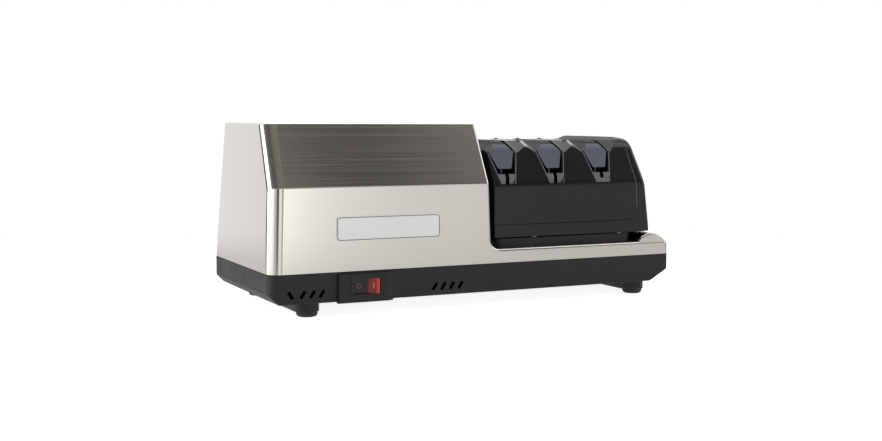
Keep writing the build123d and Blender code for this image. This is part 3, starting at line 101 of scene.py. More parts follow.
# The room that lights the object: turns in degrees from straight in front towards the left, and
# levels of light. The low room is seen at the object's own height, the high room above it. A flag
# hangs before the high room: FLAG is the share of the room that it hides, FLAG_TONE its own level.
LOW_ROOM = ((-180, 1.15), (-130, 1.1), (-115, 1.0), (-100, 0.5), (-60, 0.5), (-50, 0.8),
            (-37, 0.78), (-31, 0.77), (-29, 0.82), (-27.5, 1.0), (-25.4, 0.9), (-23, 1.03),
            (-21, 1.1), (-19.6, 1.28), (-18.6, 1.7), (-14, 2.2), (-11, 0.6), (-1, 0.5), (8, 1.3),
            (22, 1.3), (27, 0.05), (40, 0.05), (46, 0.7), (58, 0.75), (66, 1.3), (78, 1.65),
            (134, 1.65), (138, 0.05), (157, 0.05), (160, 1.05), (180, 1.1))
HIGH_ROOM = ((-180, 1.1), (-165, 1.2), (-155, 1.5), (-138, 1.5), (-122, 0.7), (-100, 0.7),
             (-85, 1.7), (-58, 1.7), (-45, 0.9), (0, 0.8), (90, 0.8), (150, 0.9), (180, 1.1))
FLAG = ((-180, 0.0), (-60, 0.0), (-50, 1.0), (98, 1.0), (112, 0.0), (180, 0.0))
FLAG_TONE = ((-60, 0.24), (-39.1, 0.2), (-37.4, 0.14), (-35, 0.075), (-33, 0.05), (-31, 0.045),
             (-29, 0.05), (-28.2, 0.11), (-27.4, 0.24), (-11, 0.22), (40, 0.2), (60, 0.12),
             (100, 0.1))
FLAG_TINT = (1.02, 1.0, 0.92)
CEILING = (0.28, 0.28, 0.275, 1.0)
# Upward parts of a direction between which one zone fades into the next.
HIGH_FADE = (0.2, 0.34)
FLAG_FADE = (0.24, 0.36)
CEILING_FADE = (0.93, 0.985)
ROOM_STRENGTH = 4.0         # levels are stored as shares of this

# Soft lamps: name, the studio's property for its power, its place, what it faces and its width.
LAMPS = (("overhead_softbox", "key_power", (0.05, 0.5, 1.3), (0.0, 0.0, 0.05), 1.5),
         ("left_softbox", "fill_power", (-1.25, 0.5, 0.3), (0.0, 0.0, 0.08), 0.6))

# The camera's directions, and its place, with Y counted from the front of the cover.
CAMERA_ACROSS = (0.89896003, -0.43801969, 0.00310044)
CAMERA_UPWARD = (0.03465515, 0.07817612, 0.99633705)
CAMERA_ONWARD = (0.43665763, 0.89555974, -0.08545684)
CAMERA_PLACE = (-0.507287, -0.950827, 0.169587)
CAMERA_SHIFT = (-0.0011, 0.0001)    # across and upward
SENSOR_WIDTH = 36.0                 # millimetres


def linear(code):
    """An sRGB hex colour as linear red, green and blue with full alpha."""
    parts = [int(code[i:i + 2], 16) / 255 for i in (1, 3, 5)]
    parts = [c / 12.92 if c <= 0.04045 else ((c + 0.055) / 1.055) ** 2.4 for c in parts]
    return tuple(parts) + (1.0,)


def tint(name, description, code):
    return bpy.props.FloatVectorProperty(name=name, description=description, subtype="COLOR",
                                         size=4, min=0.0, max=1.0, default=linear(code))


def size(name, description, default):
    return bpy.props.FloatProperty(name=name, description=description, default=default, min=0.0,
                                   unit="LENGTH")


def power(name, description, default):
    return bpy.props.FloatProperty(name=name, description=description, default=default, min=0.0,
                                   unit="POWER")


class SharpenerColours(bpy.types.PropertyGroup):
    """Colours of the visible finishes"""
    steel: tint("Steel", "Brushed stainless steel of the cover", "#DAD6D0")
    nameplate: tint("Nameplate", "Lacquered face of the nameplate", "#FFFFFF")
    base: tint("Base", "Moulded base, deck and port ring", "#1E1E1F")
    module: tint("Module", "Glossy mouldings of the sharpening module", "#1B1C1E")
    trough: tint("Trough", "Front edges of the liners of the blade slots", "#767A7E")
    # Painted shade: the dark colour that the slots' inner faces take.
    slot: tint("Slot", "Depths of the blade slots", "#17181A")
    guide: tint("Guide", "Guide springs between the blade slots", "#646A7A")
    rocker: tint("Rocker", "Raised end of the power switch's rocker", "#96211F")
    # The pressed end's dark red is painted shade.
    rocker_painted_shade: tint("Rocker, pressed end", "Pressed, shaded end of the rocker", "#180D0F")
    mark: tint("On mark", "Printed mark on the rocker's raised end", "#E3B7B2")
    # The off mark's ink is dimmed as painted shade on the pressed end.
    mark_painted_shade: tint("Off mark", "Printed mark on the rocker's pressed end", "#8C5254")
    rubber: tint("Rubber", "Feet, lead bush and isolators", "#3A3A3B")


class SharpenerSizes(bpy.types.PropertyGroup):
    """Sizes of the small details"""
    edge: size("Edge rounding", "Rounding of the moulded edges", 0.00035)
    plate_rim: size("Nameplate rim", "Width of the nameplate's dark outline", 0.0006)
    mark_width: size("Mark width", "Stroke width of the marks on the rocker", 0.0007)
    # The panel line is a painted highlight along the panel's right edge.
    panel_highlight_line: size("Panel line", "Width of the rubbed line along the panel's right edge", 0.0006)
    brush_pitch: size("Brush pitch", "Distance between the brushed lines", 0.0012)


class SharpenerStudio(bpy.types.PropertyGroup):
    """Floor, light and camera"""
    floor: tint("Floor", "Pale floor", "#F4F4F3")
    lens: bpy.props.FloatProperty(name="Lens", description="Focal length at a 36 mm wide sensor",
                                  default=49.234, min=1.0, subtype="DISTANCE_CAMERA")
    key_power: power("Key light", "Power of the large soft lamp overhead", 6.0)
    fill_power: power("Fill light", "Power of the soft lamp at the left", 3.0)


# ---------------------------------------------------------------- materials
def add(material, kind, inputs=(), **settings):
    """Adds a node. Settings are its properties; inputs are values or the sockets that feed them."""
    tree = material.node_tree
    made = tree.nodes.new("ShaderNode" + kind)
    for name, value in settings.items():
        setattr(made, name, value)
    for name, value in dict(inputs).items():
        if isinstance(value, bpy.types.NodeSocket):
            tree.links.new(value, made.inputs[name])
        else:
            made.inputs[name].default_value = value
    return made


def blank(name):
    """An empty node material with the object's own coordinates to draw patterns with."""
    material = bpy.data.materials.new(name)
    material.use_nodes = True
    material.node_tree.nodes.clear()
    return material, add(material, "TexCoord").outputs["Object"]


def noise(material, place, scale, detail, roughness=0.5, distortion=0.0):
    """Cloudy noise with features of about 1 / scale metres."""
    return add(material, "TexNoise", {"Vector": place, "Scale": scale, "Detail": detail,
                                      "Roughness": roughness, "Distortion": distortion}).outputs[0]


def grains(material, place, scale):
    """Distance from the middle of the nearest grain; the grains are about 1 / scale metres wide."""
    grain = add(material, "TexVoronoi", {"Vector": place, "Scale": scale}, feature="F1")
    return grain.outputs["Distance"]


def waves(material, place, scale, distortion, detail, **settings):
    """Stripes or rings that follow each other at about 0.31 / scale metres."""
    return add(material, "TexWave", {"Vector": place, "Scale": scale, "Distortion": distortion,
                                     "Detail": detail}, **settings).outputs[1]


def blend(material, share, first, second):
    """A colour between two others."""
    return add(material, "Mix", {0: share, 6: first, 7: second}, data_type="RGBA").outputs[2]


def spread(material, value, source, target):
    """A value moved from one range, held at its ends, to another."""
    return add(material, "MapRange", {"Value": value, 1: source[0], 2: source[1], 3: target[0],
                                      4: target[1]}).outputs[0]


def reckon(material, operation, *values):
    """The result of a sum or a comparison."""
    return add(material, "Math", enumerate(values), operation=operation).outputs[0]


def scaled(material, vector, factors):
    """A vector or colour with each of its parts multiplied."""
    return add(material, "VectorMath", {0: vector, 1: factors}, operation="MULTIPLY").outputs[0]


def relief(material, height, strength, distance):
    """Small unevenness in the surface; the distance is its depth in metres."""
    return add(material, "Bump", {"Height": height, "Strength": strength,
                                  "Distance": distance}).outputs[0]


def faded(colour, share):
    """A colour at a share of its strength, with full alpha."""
    return tuple(c * share for c in colour[:3]) + (1.0,)


def set_stops(ramp, stops):
    """Gives a colour ramp its stops, each a position and a colour."""
    elements = ramp.color_ramp.elements
    while len(elements) < len(stops):
        elements.new(0.5)
    for element, (position, colour) in zip(elements, stops):
        element.position = position
        element.color = colour


def shade(material, surface):
    """Ends a material with a Principled surface and its output."""
    shader = add(material, "BsdfPrincipled", surface)
    add(material, "OutputMaterial", {"Surface": shader.outputs["BSDF"]})
    return material


def brushed_stainless():
    # Stainless sheet, brushed along its length: reflections smear across the lines and stay sharp
    # along them. On the end walls the lines run from front to back.
    material, place = blank("brushed_stainless")
    sizes = bpy.context.scene.sharpener_sizes
    fine = 1 / sizes.brush_pitch
    normal = add(material, "NewGeometry").outputs["Normal"]
    facing = add(material, "SeparateXYZ", {"Vector": normal}).outputs["X"]
    facing = reckon(material, "ABSOLUTE", facing)
    at_end = reckon(material, "GREATER_THAN", facing, END_WALL)
    along = scaled(material, place, (LINE_BREAKS, fine, fine))
    across = scaled(material, place, (fine, LINE_BREAKS, fine))
    lines = add(material, "Mix", {0: at_end, 4: along, 5: across}, data_type="VECTOR").outputs[1]
    grain = noise(material, lines, 1.0, 2.0)
    smudge = noise(material, place, 22.0, 2.0)
    rough = spread(material, grain, (0.3, 0.7), (0.14, 0.19))
    rough = reckon(material, "MULTIPLY_ADD", smudge, 0.02, rough)
    steel = bpy.context.scene.sharpener_colours.steel
    tone = blend(material, grain, faded(steel, 0.86), tuple(steel))
    bump = relief(material, grain, 0.002, 0.0001)
    upright = add(material, "CombineXYZ", {"X": 0.0, "Y": 0.25, "Z": 1.0}).outputs[0]
    return shade(material, {"Base Color": tone, "Metallic": 1.0, "Roughness": rough,
                            "Anisotropic": 0.8, "Tangent": upright, "Normal": bump})


def lacquered_plate():
    # Thin aluminium plate under a clear satin lacquer: pale, with a soft even sheen.
    material, place = blank("lacquered_aluminium_plate")
    fine = noise(material, place, 1800.0, 2.0)
    bump = relief(material, fine, 0.04, 0.0001)
    colour = tuple(bpy.context.scene.sharpener_colours.nameplate)
    return shade(material, {"Base Color": colour, "Roughness": 0.38, "Coat Weight": 0.25,
                            "Coat Roughness": 0.2, "Normal": bump})


def plate_ink():
    # Dark screen-printed line around the plate.
    material, place = blank("plate_outline_ink")
    speck = noise(material, place, 2500.0, 1.0)
    tone = blend(material, speck, linear("#3F4045"), linear("#55565C"))
    return shade(material, {"Base Color": tone, "Roughness": 0.45})


def moulded_satin(name, colour, low=0.42, high=0.54, depth=0.10):
    """Plastic from a spark-eroded mould: an even grain of about 0.4 mm that breaks up the gloss.

    Its roughness goes from low to high, and depth is the strength of the grain.
    """
    material, place = blank(name)
    grain = noise(material, place, 2400.0, 3.0, roughness=0.6)
    cloud = noise(material, place, 35.0, 2.0)
    rough = spread(material, cloud, (0.3, 0.7), (low, high))
    tone = blend(material, cloud, faded(colour, 0.86), tuple(colour))
    bump = relief(material, grain, depth, 0.0004)
    return shade(material, {"Base Color": tone, "Roughness": rough, "Normal": bump, "IOR": 1.46})


def base_abs():
    # ABS moulding, charcoal, with the mould's fine grain.
    return moulded_satin("base_charcoal_abs", bpy.context.scene.sharpener_colours.base)


def module_abs():
    # High-gloss ABS: a polished mould, with a faint orange peel and a little handling haze.
    material, place = blank("module_gloss_abs")
    peel = noise(material, place, 320.0, 1.0)
    haze = noise(material, place, 28.0, 3.0)
    rough = spread(material, haze, (0.3, 0.75), (0.12, 0.2))
    bump = relief(material, peel, 0.03, 0.0005)
    colour = tuple(bpy.context.scene.sharpener_colours.module)
    return shade(material, {"Base Color": colour, "Roughness": rough, "Normal": bump, "IOR": 1.42})


def painted_edge_highlight():
    # A painted highlight along the panel's edge: the same plastic, painted paler, with fine
    # speckle.
    material, place = blank("module_rubbed_edge")
    highlight_speckle = noise(material, place, 420.0, 3.0)
    tone = blend(material, highlight_speckle, linear("#5E5E60"), linear("#7C7C7F"))
    return shade(material, {"Base Color": tone, "Roughness": 0.3})


def trough_nylon():
    # Grey glass-filled nylon, polished where blades are guided in.
    colour = bpy.context.scene.sharpener_colours.trough
    return moulded_satin("trough_grey_nylon", colour, 0.22, 0.32, 0.04)


def slot_shade_nylon():
    # The same nylon, darkened as painted shade down inside the slots.
    colour = bpy.context.scene.sharpener_colours.slot
    return moulded_satin("trough_dusty_black_nylon", colour, 0.45, 0.6, 0.08)


def guide_acetal():
    # Blue-grey acetal, springy, with a waxy sheen.
    colour = bpy.context.scene.sharpener_colours.guide
    return moulded_satin("guide_blue_grey_acetal", colour, 0.3, 0.4, 0.04)


def switch_nylon():
    # Black nylon of the switch's case.
    return moulded_satin("switch_black_nylon", linear("#1B1B1C"), 0.35, 0.45, 0.05)


def rocker_polycarbonate():
    # Moulded red polycarbonate, slightly see-through, so light gathers under its skin. Its colour
    # runs across X: the pressed end is painted dark as painted shade, and a paler red along the
    # raised end's edge is a painted highlight.
    material, place = blank("rocker_red_polycarbonate")
    colours = bpy.context.scene.sharpener_colours
    low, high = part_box("rocker")
    across = add(material, "SeparateXYZ", {"Vector": place}).outputs["X"]
    cloud = noise(material, place, 160.0, 2.0)
    across = reckon(material, "MULTIPLY_ADD", cloud, 0.002, across)
    across = spread(material, across, (low.x, high.x), (0.0, 1.0))
    ramp = add(material, "ValToRGB", {"Fac": across})
    # Painted highlight along the raised end's edge; the pressed end below gets painted shade.
    painted_highlight = tuple(min(1.0, c * 2.6 + 0.015) for c in colours.rocker[:3]) + (1.0,)
    pressed, raised = tuple(colours.rocker_painted_shade), tuple(colours.rocker)
    set_stops(ramp, [(0.0, pressed), (0.56, pressed), (0.68, raised), (0.86, raised),
                     (0.94, painted_highlight)])
    return shade(material, {"Base Color": ramp.outputs[0], "Roughness": 0.34, "IOR": 1.5,
                            "Subsurface Weight": 0.25, "Subsurface Radius": (1.0, 0.25, 0.15),
                            "Subsurface Scale": 0.0012})


def mark_ink(name, colour):
    """Pad-printed ink, slightly raised and a little worn."""
    material, place = blank(name)
    worn = noise(material, place, 1500.0, 2.0)
    tone = blend(material, worn, faded(colour, 0.8), colour)
    return shade(material, {"Base Color": tone, "Roughness": 0.5})


def moulded_rubber():
    # Black nitrile rubber: dull, dusty, with a soft bloom.
    material, place = blank("moulded_black_rubber")
    dust = noise(material, place, 260.0, 5.0, roughness=0.65)
    colour = tuple(bpy.context.scene.sharpener_colours.rubber)
    pale = tuple(min(1.0, c * 1.7 + 0.004) for c in colour[:3]) + (1.0,)
    tone = blend(material, dust, colour, pale)
    bump = relief(material, dust, 0.12, 0.0004)
    return shade(material, {"Base Color": tone, "Roughness": 0.78, "Normal": bump,
                            "Sheen Weight": 0.12})


def zinc_plate():
    # Bright zinc plating on small steel: silver with a faint warm passivation and a light frost.
    material, place = blank("bright_zinc_plate")
    stain = noise(material, place, 240.0, 3.0)
    tone = blend(material, stain, linear("#C9C6BC"), linear("#D9DADD"))
    rough = spread(material, stain, (0.3, 0.7), (0.24, 0.38))
    return shade(material, {"Base Color": tone, "Metallic": 1.0, "Roughness": rough})


def galvanised_sheet():
    # Zinc-coated mild steel sheet: pale grey patches of frost about 4 mm across.
    material, place = blank("zinc_coated_steel_sheet")
    frost = grains(material, place, 250.0)
    tone = blend(material, frost, linear("#A9ACAF"), linear("#C2C4C6"))
    rough = spread(material, frost, (0.0, 0.9), (0.3, 0.46))
    return shade(material, {"Base Color": tone, "Metallic": 1.0, "Roughness": rough})


def lamination_stack():
    # Stacked silicon-steel laminations, each 0.65 mm, drawn at 2 mm to show.
    material, place = blank("silicon_steel_laminations")
    layer = waves(material, place, 159.0, 0.4, 1.0, wave_type="BANDS", bands_direction="X",
                  wave_profile="SAW")
    tone = blend(material, layer, linear("#3D3E42"), linear("#8A8C92"))
    bump = relief(material, layer, 0.4, 0.0003)
    return shade(material, {"Base Color": tone, "Metallic": 0.85, "Roughness": 0.5, "Normal": bump})


def enamelled_winding():
    # Varnished copper wire, 0.6 mm, wound in rings about the motor's axis, drawn at 1.2 mm to show.
    material, place = blank("enamelled_copper_winding")
    low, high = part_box("windings")
    middle = -(low + high) / 2
    centred = add(material, "VectorMath", {0: place, 1: tuple(middle)}, operation="ADD").outputs[0]
    wire = waves(material, centred, 260.0, 1.2, 2.0, wave_type="RINGS", rings_direction="X")
    tone = blend(material, wire, linear("#6E2A10"), linear("#C8743A"))
    bump = relief(material, wire, 0.7, 0.0005)
    return shade(material, {"Base Color": tone, "Metallic": 0.7, "Roughness": 0.32,
                            "Coat Weight": 0.5, "Coat Roughness": 0.15, "Normal": bump})


def die_cast_aluminium():
    # Die-cast aluminium, tumbled: grey, slightly pitted, with cloudy flow marks.
    material, place = blank("die_cast_aluminium")
    flow = noise(material, place, 90.0, 4.0, distortion=0.8)
    pits = noise(material, place, 1400.0, 2.0)
    tone = blend(material, flow, linear("#A4A5A7"), linear("#C9CACC"))
    bump = relief(material, pits, 0.2, 0.0003)
    return shade(material, {"Base Color": tone, "Metallic": 1.0, "Roughness": 0.45, "Normal": bump})


def sintered_bronze():
    # Sintered bronze: fine open pores that hold oil.
    material, place = blank("sintered_bronze")
    pores = grains(material, place, 2200.0)
    tone = blend(material, pores, linear("#7C5A2B"), linear("#B98A4B"))
    return shade(material, {"Base Color": tone, "Metallic": 1.0, "Roughness": 0.42})


def ground_shaft():
    # Centreless-ground steel: bright, with fine rings about the axis, drawn at 1.2 mm to show.
    material, place = blank("ground_shaft_steel")
    ring = waves(material, place, 265.0, 2.0, 2.0, wave_type="BANDS", bands_direction="X")
    rough = spread(material, ring, (0.0, 1.0), (0.16, 0.28))
    return shade(material, {"Base Color": linear("#CBCBCC"), "Metallic": 1.0, "Roughness": rough})


def oiled_spring_steel():
    # Hardened spring steel, blackened and oiled.
    material, place = blank("oiled_spring_steel")
    film = noise(material, place, 500.0, 3.0)
    tone = blend(material, film, linear("#5E5F63"), linear("#85878B"))
    return shade(material, {"Base Color": tone, "Metallic": 1.0, "Roughness": 0.3})


def fan_nylon():
    # Glass-filled nylon, dark grey, with the pale haze of its fibres.
    return moulded_satin("fan_grey_nylon", linear("#5B5C5F"), 0.48, 0.6, 0.08)


def coupling_acetal():
    # Natural acetal, ivory white and waxy.
    return moulded_satin("coupling_white_acetal", linear("#DAD6C6"), 0.3, 0.4, 0.03)


def ferrite_magnet():
    # Sintered ferrite: dark, matt and slightly grainy.
    material, place = blank("sintered_ferrite")
    grit = noise(material, place, 2600.0, 3.0)
    tone = blend(material, grit, linear("#2E2E31"), linear("#4C4C50"))
    return shade(material, {"Base Color": tone, "Metallic": 0.5, "Roughness": 0.55})


def diamond_coat():
    # Diamond grit of 0.1 mm held in nickel, drawn at 0.5 mm so that it shows; single grains glint.
    material, place = blank("diamond_nickel_coat")
    cells = add(material, "TexVoronoi", {"Vector": place, "Scale": 2000.0}, feature="F1")
    glint = add(material, "SeparateColor", {"Color": cells.outputs["Color"]}).outputs[0]
    tone = blend(material, glint, linear("#77797D"), linear("#B9BBBF"))
    rough = spread(material, glint, (0.0, 1.0), (0.55, 0.2))
    bump = relief(material, cells.outputs["Distance"], 0.5, 0.0002)
    return shade(material, {"Base Color": tone, "Metallic": 0.9, "Roughness": rough,
                            "Normal": bump})


def strop_rubber():
    # Flexible abrasive: fine grit moulded into brown rubber.
    material, place = blank("abrasive_filled_rubber")
    grit = grains(material, place, 2600.0)
    tone = blend(material, grit, linear("#5A4A40"), linear("#8A7768"))
    bump = relief(material, grit, 0.35, 0.0002)
    return shade(material, {"Base Color": tone, "Roughness": 0.8, "Normal": bump})


FINISHES = {
    "stainless": brushed_stainless, "nameplate_metal": lacquered_plate,
    "base_plastic": base_abs, "module_plastic": module_abs, "trough_plastic": trough_nylon,
    "guide_plastic": guide_acetal, "switch_plastic": switch_nylon,
    "rocker_plastic": rocker_polycarbonate, "rubber_black": moulded_rubber,
    "zinc_screw": zinc_plate, "mild_steel": galvanised_sheet, "laminations": lamination_stack,
    "copper_wire": enamelled_winding, "cast_aluminium": die_cast_aluminium,
    "bronze": sintered_bronze, "shaft_steel": ground_shaft, "spring_steel": oiled_spring_steel,
    "fan_plastic": fan_nylon, "coupling_plastic": coupling_acetal, "magnet": ferrite_magnet,
    "disc_diamond": diamond_coat, "disc_strop": strop_rubber,
}
made_finishes = {}


def finish_of(maker):
    """The material that a function makes, made once."""
    if maker not in made_finishes:
        made_finishes[maker] = maker()
    return made_finishes[maker]


# ---------------------------------------------------------------- pieces
def place(name, mesh, body, slot, material):
    """Puts a finished bmesh into the scene as a piece that rides on a body."""
    data = bpy.data.meshes.new(name)
    mesh.to_mesh(data)
    mesh.free()
    data.materials.append(material)
    piece = bpy.data.objects.new(name, data)
    bpy.context.scene.collection.objects.link(piece)
    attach(piece, body)
    return piece


def dress(node, rounding=0.0):
    """A merged copy of a node, smooth over its curves and crisp at its edges, in its finish."""
    mesh = bmesh.new()
    mesh.from_mesh(NODES[node].data)
    bmesh.ops.remove_doubles(mesh, verts=mesh.verts, dist=MERGE_WITHIN)
    bmesh.ops.dissolve_degenerate(mesh, edges=mesh.edges, dist=SLIVER)
    if rounding:
        bmesh.ops.dissolve_limit(mesh, angle_limit=radians(FLAT_WITHIN), verts=mesh.verts,
                                 edges=mesh.edges)
    for face in mesh.faces:
        face.smooth = True
    for edge in mesh.edges:
        edge.smooth = len(edge.link_faces) == 2 and edge.calc_face_angle(0.0) < radians(CREASE)
    piece = place(node + "_skin", mesh, BODY[node], SLOT[node], finish_of(FINISHES[SLOT[node]]))
    if rounding:
        bevel = piece.modifiers.new("Edges", "BEVEL")
        bevel.width = rounding
        bevel.segments = 2
        bevel.limit_method = "ANGLE"
        bevel.angle_limit = radians(CREASE)
    normals = piece.modifiers.new("Normals", "WEIGHTED_NORMAL")
    normals.keep_sharp = True
    normals.weight = 80
    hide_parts(node)
    return piece


def spring_half(stage, side):
    """The spring washers on one side of a stage's middle, cut from the stage's spring; in the
    sharpener they close as their disc slides in.
    """
    piece = dress(stage + "_disc_spring")
    piece.name = stage + "_" + side + "_washers"
    low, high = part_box(stage + "_disc_spring")
    middle = (low + high) / 2
    mesh = bmesh.new()
    mesh.from_mesh(piece.data)
    bmesh.ops.bisect_plane(mesh, geom=mesh.verts[:] + mesh.edges[:] + mesh.faces[:],
                           plane_co=middle, plane_no=(1 if side == "left" else -1, 0, 0),
                           clear_outer=True)
    mesh.to_mesh(piece.data)
    mesh.free()
    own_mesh(piece)


def two_tone(piece, finish, chosen):
    """Gives the faces that a test on their normals picks a second finish."""
    piece.data.materials.append(finish_of(finish))
    for face in piece.data.polygons:
        if chosen(face.normal):
            face.material_index = 1


def lay_on(mesh, node, lift):
    """Moves a mesh's vertices along Y until they lie on a node's front, lifted a little off it."""
    target = bmesh.new()
    target.from_mesh(NODES[node].data)
    tree = BVHTree.FromBMesh(target)
    target.free()
    for vertex in mesh.verts:
        hit = tree.ray_cast(Vector((vertex.co.x, PROBE_START, vertex.co.z)), Vector((0, 1, 0)))[0]
        if hit is None:
            raise RuntimeError(node + " has no front at " + str(vertex.co))
        vertex.co.y = hit.y - lift


def corner_points(x0, x1, z0, z1, radius, steps=5):
    """A rounded rectangle in the XZ plane, counter-clockwise."""
    points = []
    for cx, cz, turn in ((x1 - radius, z0 + radius, -90), (x1 - radius, z1 - radius, 0),
                         (x0 + radius, z1 - radius, 90), (x0 + radius, z0 + radius, 180)):
        for step in range(steps + 1):
            angle = radians(turn + 90 * step / steps)
            points.append((cx + radius * cos(angle), cz + radius * sin(angle)))
    return points


# ---------------------------------------------------------------- operators
class SHARPENER_OT_cover(bpy.types.Operator):
    """Brushed stainless cover with its nameplate"""
    bl_idname = "sharpener.cover"
    bl_label = "Cover and nameplate"

    def execute(self, context):
        dress("stainless_cover")
        dress("nameplate")
        low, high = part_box("nameplate")
        rim = context.scene.sharpener_sizes.plate_rim
        points = corner_points(low.x + PLATE_INSET, high.x - PLATE_INSET, low.z + PLATE_INSET,
                               high.z - PLATE_INSET, PLATE_CORNER)
        outline = bmesh.new()
        loop = [outline.verts.new((x, 0, z)) for x, z in points]
        face = outline.faces.new(loop)
        face.normal_update()
        bmesh.ops.inset_region(outline, faces=[face], thickness=rim, use_boundary=True,
                               use_even_offset=True)
        bmesh.ops.delete(outline, geom=[face], context="FACES_ONLY")
        lay_on(outline, "nameplate", OUTLINE_LIFT)
        bmesh.ops.recalc_face_normals(outline, faces=outline.faces)
        place("nameplate_outline", outline, "housing", "nameplate_metal", plate_ink())
        return {"FINISHED"}


class SHARPENER_OT_base(bpy.types.Operator):
    """Moulded base, rubber feet, lead bush and the posts under the tray"""
    bl_idname = "sharpener.base"
    bl_label = "Base and feet"

    def execute(self, context):
        dress("base")
        for corner in ("front_left", "front_right", "rear_left", "rear_right"):
            dress("foot_" + corner)
        dress("cord_inlet")
        dress("tray_posts")
        return {"FINISHED"}


class SHARPENER_OT_switch(bpy.types.Operator):
    """Power switch with its rocker"""
    bl_idname = "sharpener.switch"
    bl_label = "Power switch"

    def execute(self, context):
        dress("switch_body")
        dress("rocker", rounding=context.scene.sharpener_sizes.edge)
        low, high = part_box("rocker")
        middle = (low + high) / 2
        width = context.scene.sharpener_sizes.mark_width
        colours = context.scene.sharpener_colours
        # The off mark's ink is dimmed as painted shade.
        inks = {"on_mark": mark_ink("on_mark_ink", tuple(colours.mark)),
                "off_mark": mark_ink("off_mark_ink", tuple(colours.mark_painted_shade))}
        bar = bmesh.new()
        bmesh.ops.create_grid(bar, x_segments=2, y_segments=6, size=0.5)
        bmesh.ops.scale(bar, vec=(width, BAR_LENGTH, 1.0), verts=bar.verts)
        ring = bmesh.new()
        around = bmesh.ops.create_circle(ring, segments=32, radius=RING_RADIUS)["verts"]
        bmesh.ops.extrude_edge_only(ring, edges=ring.edges)
        bmesh.ops.scale(ring, vec=(1 - width / RING_RADIUS,) * 2 + (1.0,), verts=around)
        stand_up = Matrix.Rotation(radians(90), 3, "X")
        for name, mark, offset in (("on_mark", bar, BAR_PLACE), ("off_mark", ring, RING_PLACE)):
            bmesh.ops.rotate(mark, cent=(0, 0, 0), matrix=stand_up, verts=mark.verts)
            bmesh.ops.translate(mark, vec=(middle.x + offset, 0, middle.z), verts=mark.verts)
            lay_on(mark, "rocker", MARK_LIFT)
            bmesh.ops.recalc_face_normals(mark, faces=mark.faces)
            place(name, mark, "power_rocker", "rocker_plastic", inks[name])
        return {"FINISHED"}


class SHARPENER_OT_motor(bpy.types.Operator):
    """Motor's standing parts and the bracket that carries them"""
    bl_idname = "sharpener.motor"
    bl_label = "Motor"

    def execute(self, context):
        for node in ("stator_stack", "windings", "rear_end_bell", "front_end_bell",
                     "rear_motor_bush", "front_motor_bush", "tie_bolts", "motor_bracket",
                     "motor_isolators"):
            dress(node)
        return {"FINISHED"}


class SHARPENER_OT_rotor(bpy.types.Operator):
    """Rotor with its shaft, fan and driving coupling"""
    bl_idname = "sharpener.rotor"
    bl_label = "Rotor"

    def execute(self, context):
        for node in ("motor_shaft", "rotor_core", "cooling_fan", "drive_coupling"):
            dress(node)
        return {"FINISHED"}


class SHARPENER_OT_dock(bpy.types.Operator):
    """Deck and rails on the tray, and the ring around the drive port"""
    bl_idname = "sharpener.dock"
    bl_label = "Docking deck"

    def execute(self, context):
        for node in ("docking_deck", "module_rails", "drive_port_ring"):
            dress(node)
        return {"FINISHED"}


class SHARPENER_OT_module(bpy.types.Operator):
    """Cover and base of the sharpening module, with a painted highlight along its panel's edge"""
    bl_idname = "sharpener.module"
    bl_label = "Sharpening module"

    def execute(self, context):
        for node in ("module_cover", "module_base"):
            dress(node, rounding=context.scene.sharpener_sizes.edge)
        # A thin strip along the panel's right edge, painted paler as a painted highlight.
        line = bmesh.new()
        bmesh.ops.create_grid(line, x_segments=1, y_segments=len(PANEL_EDGE) - 1, size=0.5)
        rows = sorted(line.verts, key=lambda vertex: vertex.co.y)
        width = context.scene.sharpener_sizes.panel_highlight_line
        for row, (x, z) in enumerate(PANEL_EDGE):
            for vertex in rows[2 * row:2 * row + 2]:
                vertex.co = (x + (width / 2 if vertex.co.x > 0 else -width / 2), 0, z)
        along = [edge for edge in line.edges if edge.calc_length() > 2 * width]
        bmesh.ops.subdivide_edges(line, edges=along, cuts=5)
        lay_on(line, "module_cover", LINE_LIFT)
        bmesh.ops.recalc_face_normals(line, faces=line.faces)
        place("panel_edge_line", line, BODY["module_cover"], SLOT["module_cover"], painted_edge_highlight())
        return {"FINISHED"}


class SHARPENER_OT_stages(bpy.types.Operator):
    """Liners, guide springs and magnets of the three stages"""
    bl_idname = "sharpener.stages"
    bl_label = "Stages"

    def execute(self, context):
        for stage in STAGES:
            liner = dress(stage + "_trough")
            # The liner's faces that don't look forward take painted shade; the front faces keep the
            # grey.
            two_tone(liner, slot_shade_nylon, lambda normal: abs(normal.y) < LINER_FRONT)
            guide = dress(stage + "_guide_spring", rounding=context.scene.sharpener_sizes.edge)
            # The guide's sides and top take the same dark finish.
            two_tone(guide, slot_shade_nylon,
                     lambda normal: abs(normal.y) < GUIDE_FRONT or normal.z > GUIDE_TOP)
        dress("guide_magnets")
        return {"FINISHED"}


class SHARPENER_OT_discs(bpy.types.Operator):
    """Disc shaft, abrasive discs, springs, clips and bushes"""
    bl_idname = "sharpener.discs"
    bl_label = "Abrasive discs"

    def execute(self, context):
        for stage in STAGES:
            for side in ("left", "right"):
                dress(stage + "_" + side + "_disc")
                spring_half(stage, side)
        for node in ("disc_shaft", "driven_coupling", "shaft_clips", "left_disc_bush",
                     "right_disc_bush"):
            dress(node)
        return {"FINISHED"}


class SHARPENER_OT_screws(bpy.types.Operator):
    """Screws under the base, the bracket and the module"""
    bl_idname = "sharpener.screws"
    bl_label = "Screws"

    def execute(self, context):
        for node in ("foot_screws", "cover_screws", "bracket_screws", "module_screws"):
            dress(node)
        return {"FINISHED"}


